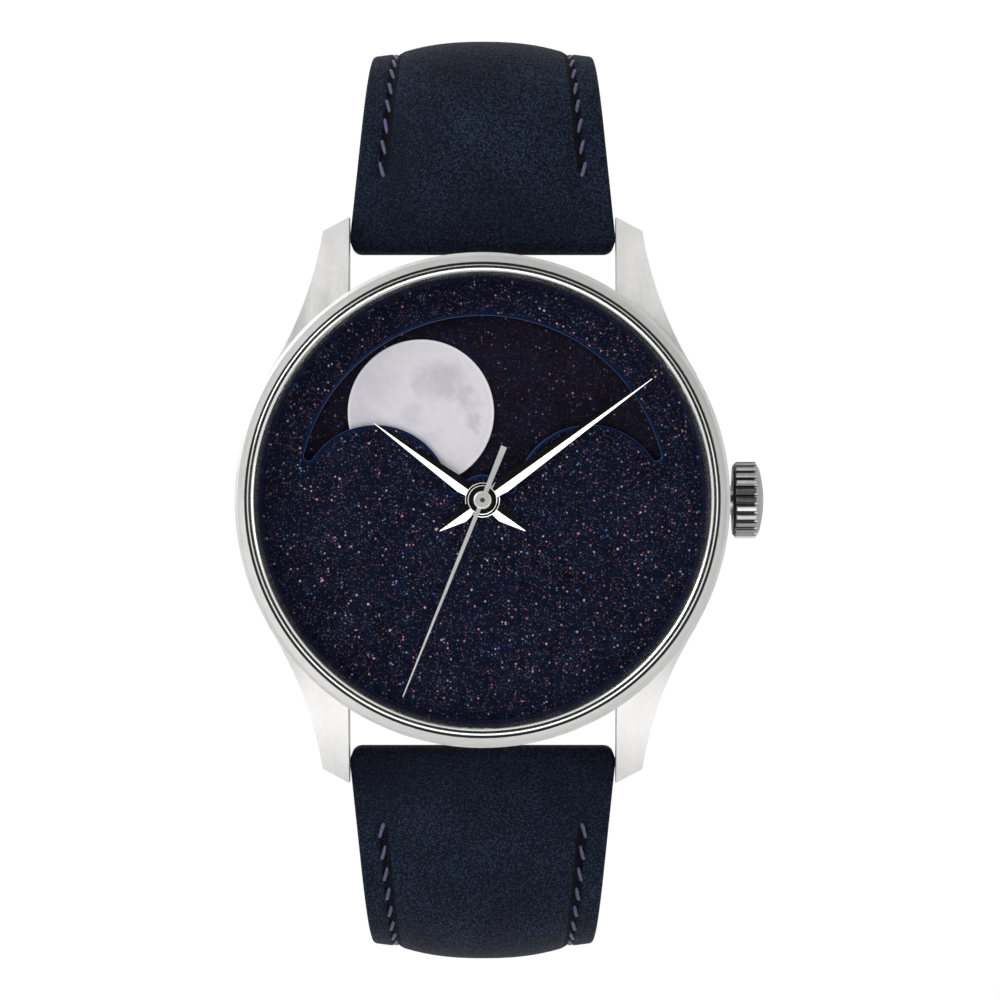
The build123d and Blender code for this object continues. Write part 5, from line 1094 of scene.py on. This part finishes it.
for name, (body, at) in keepers.items():
    loop = keeper_loop(f"{name}_loop", at)
    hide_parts(name)
    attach(loop, body)

# Buckle: a polished steel frame and tongue on their spring bar.
# Frame and tongue are bent and ground from one profile.
buckle_colour = (0.82, 0.82, 0.81, 1)
buckle_steel, _ = polished_steel("buckle_steel", buckle_colour, darker(buckle_colour, 0.93), 0.08, 0.18)
dress(buckle_steel, "buckle_frame", "buckle_tongue")

# Floor: the watch hangs over a plain white floor with a faint glow of its own.
# It can't be seen from below, so the wrist side can be looked at.
floor_gap = 0.0005
floor_size = 3.0
glow_share = 0.93
glow_strength = 1.05
floor_z = cad_box[0].z - floor_gap
bpy.ops.mesh.primitive_plane_add(size=floor_size, location=(0, 0, floor_z))
floor = bpy.context.object
floor.name = "floor"
floor_white = Material("floor_white", Base_Color=(0.6, 0.6, 0.6, 1), Roughness=0.9)
floor_seen = floor_white.sum("MULTIPLY", floor_white.add("LightPath").outputs["Is Camera Ray"], glow_share)
floor_glow = floor_white.add("Emission", Strength=glow_strength).outputs[0]
floor_lit = floor_white.mix_shaders(floor_seen, floor_white.shader.outputs[0], floor_glow)
floor_clear = floor_white.add("BsdfTransparent").outputs[0]
from_below = floor_white.add("NewGeometry").outputs["Backfacing"]
floor_white.show(floor_white.mix_shaders(from_below, floor_lit, floor_clear))
floor.data.materials.append(floor_white.made)

# Light: a white room that is darker near its floor, and three softboxes, the strongest on the left.
# A dark flag hangs over the twelve o'clock side, so that polished steel isn't white all over.
flag_way = (0.0, 0.191, 0.9816)
flag_outer = 0.829
flag_inner = 0.883
lamp_aim = Vector((0, 0, 0.009))
world = bpy.data.worlds.new("studio")
bpy.context.scene.world = world
world.use_nodes = True
sky = Finish(world.node_tree)
background = world.node_tree.nodes["Background"]
sky_place = sky.add("TexCoord").outputs["Generated"]
open_sky = sky.span(sky.measure("DOT_PRODUCT", sky_place, flag_way), flag_outer, flag_inner, 1.0, 0.0)
level = sky.span(sky.split(sky_place)[2], 0.0, 0.42, 0.2, 0.9)
room = sky.sum("MULTIPLY_ADD", sky.sum("MULTIPLY", open_sky, level), 0.99, 0.008)
seen_directly = sky.add("LightPath").outputs["Is Camera Ray"]
sky.feed(background, "Strength", sky.span(seen_directly, 0.0, 1.0, room, 1.0))
sky.feed(background, "Color", (1, 1, 1, 1))


def softbox(name, place, size, power):
    """A rectangular area lamp aimed at the dial."""
    lamp = bpy.data.lights.new(name, "AREA")
    lamp.shape = "RECTANGLE"
    lamp.size, lamp.size_y = size
    lamp.energy = power
    holder = bpy.data.objects.new(name, lamp)
    holder.location = place
    holder.rotation_mode = "QUATERNION"
    holder.rotation_quaternion = (lamp_aim - Vector(place)).to_track_quat("-Z", "Y")
    bpy.context.scene.collection.objects.link(holder)


softbox("front_softbox", (0.0, -0.42, 0.62), (0.75, 0.42), 1.0)
softbox("left_softbox", (-0.62, 0.42, 0.42), (0.45, 0.3), 3.2)
softbox("right_softbox", (0.75, 0.05, 0.4), (0.3, 0.6), 0.5)

# Camera: it looks straight down on the glass, a little to the right of the dial's middle.
# Its lens shows 41 mm to each side at the height of the case's rim.
camera_height = 0.45
camera_x = 0.00143
rim_height = 0.0092
half_view = 0.04082
sensor = 36.0
lens_data = bpy.data.cameras.new("camera")
lens_data.sensor_width = sensor
lens_data.lens = sensor / 2 * camera_height / half_view
lens_data.clip_start, lens_data.clip_end = 0.01, 10.0
camera = bpy.data.objects.new("camera", lens_data)
camera.location = (camera_x, 0.0, rim_height + camera_height)
bpy.context.scene.collection.objects.link(camera)
bpy.context.scene.camera = camera
bpy.context.scene.view_settings.view_transform = "Standard"
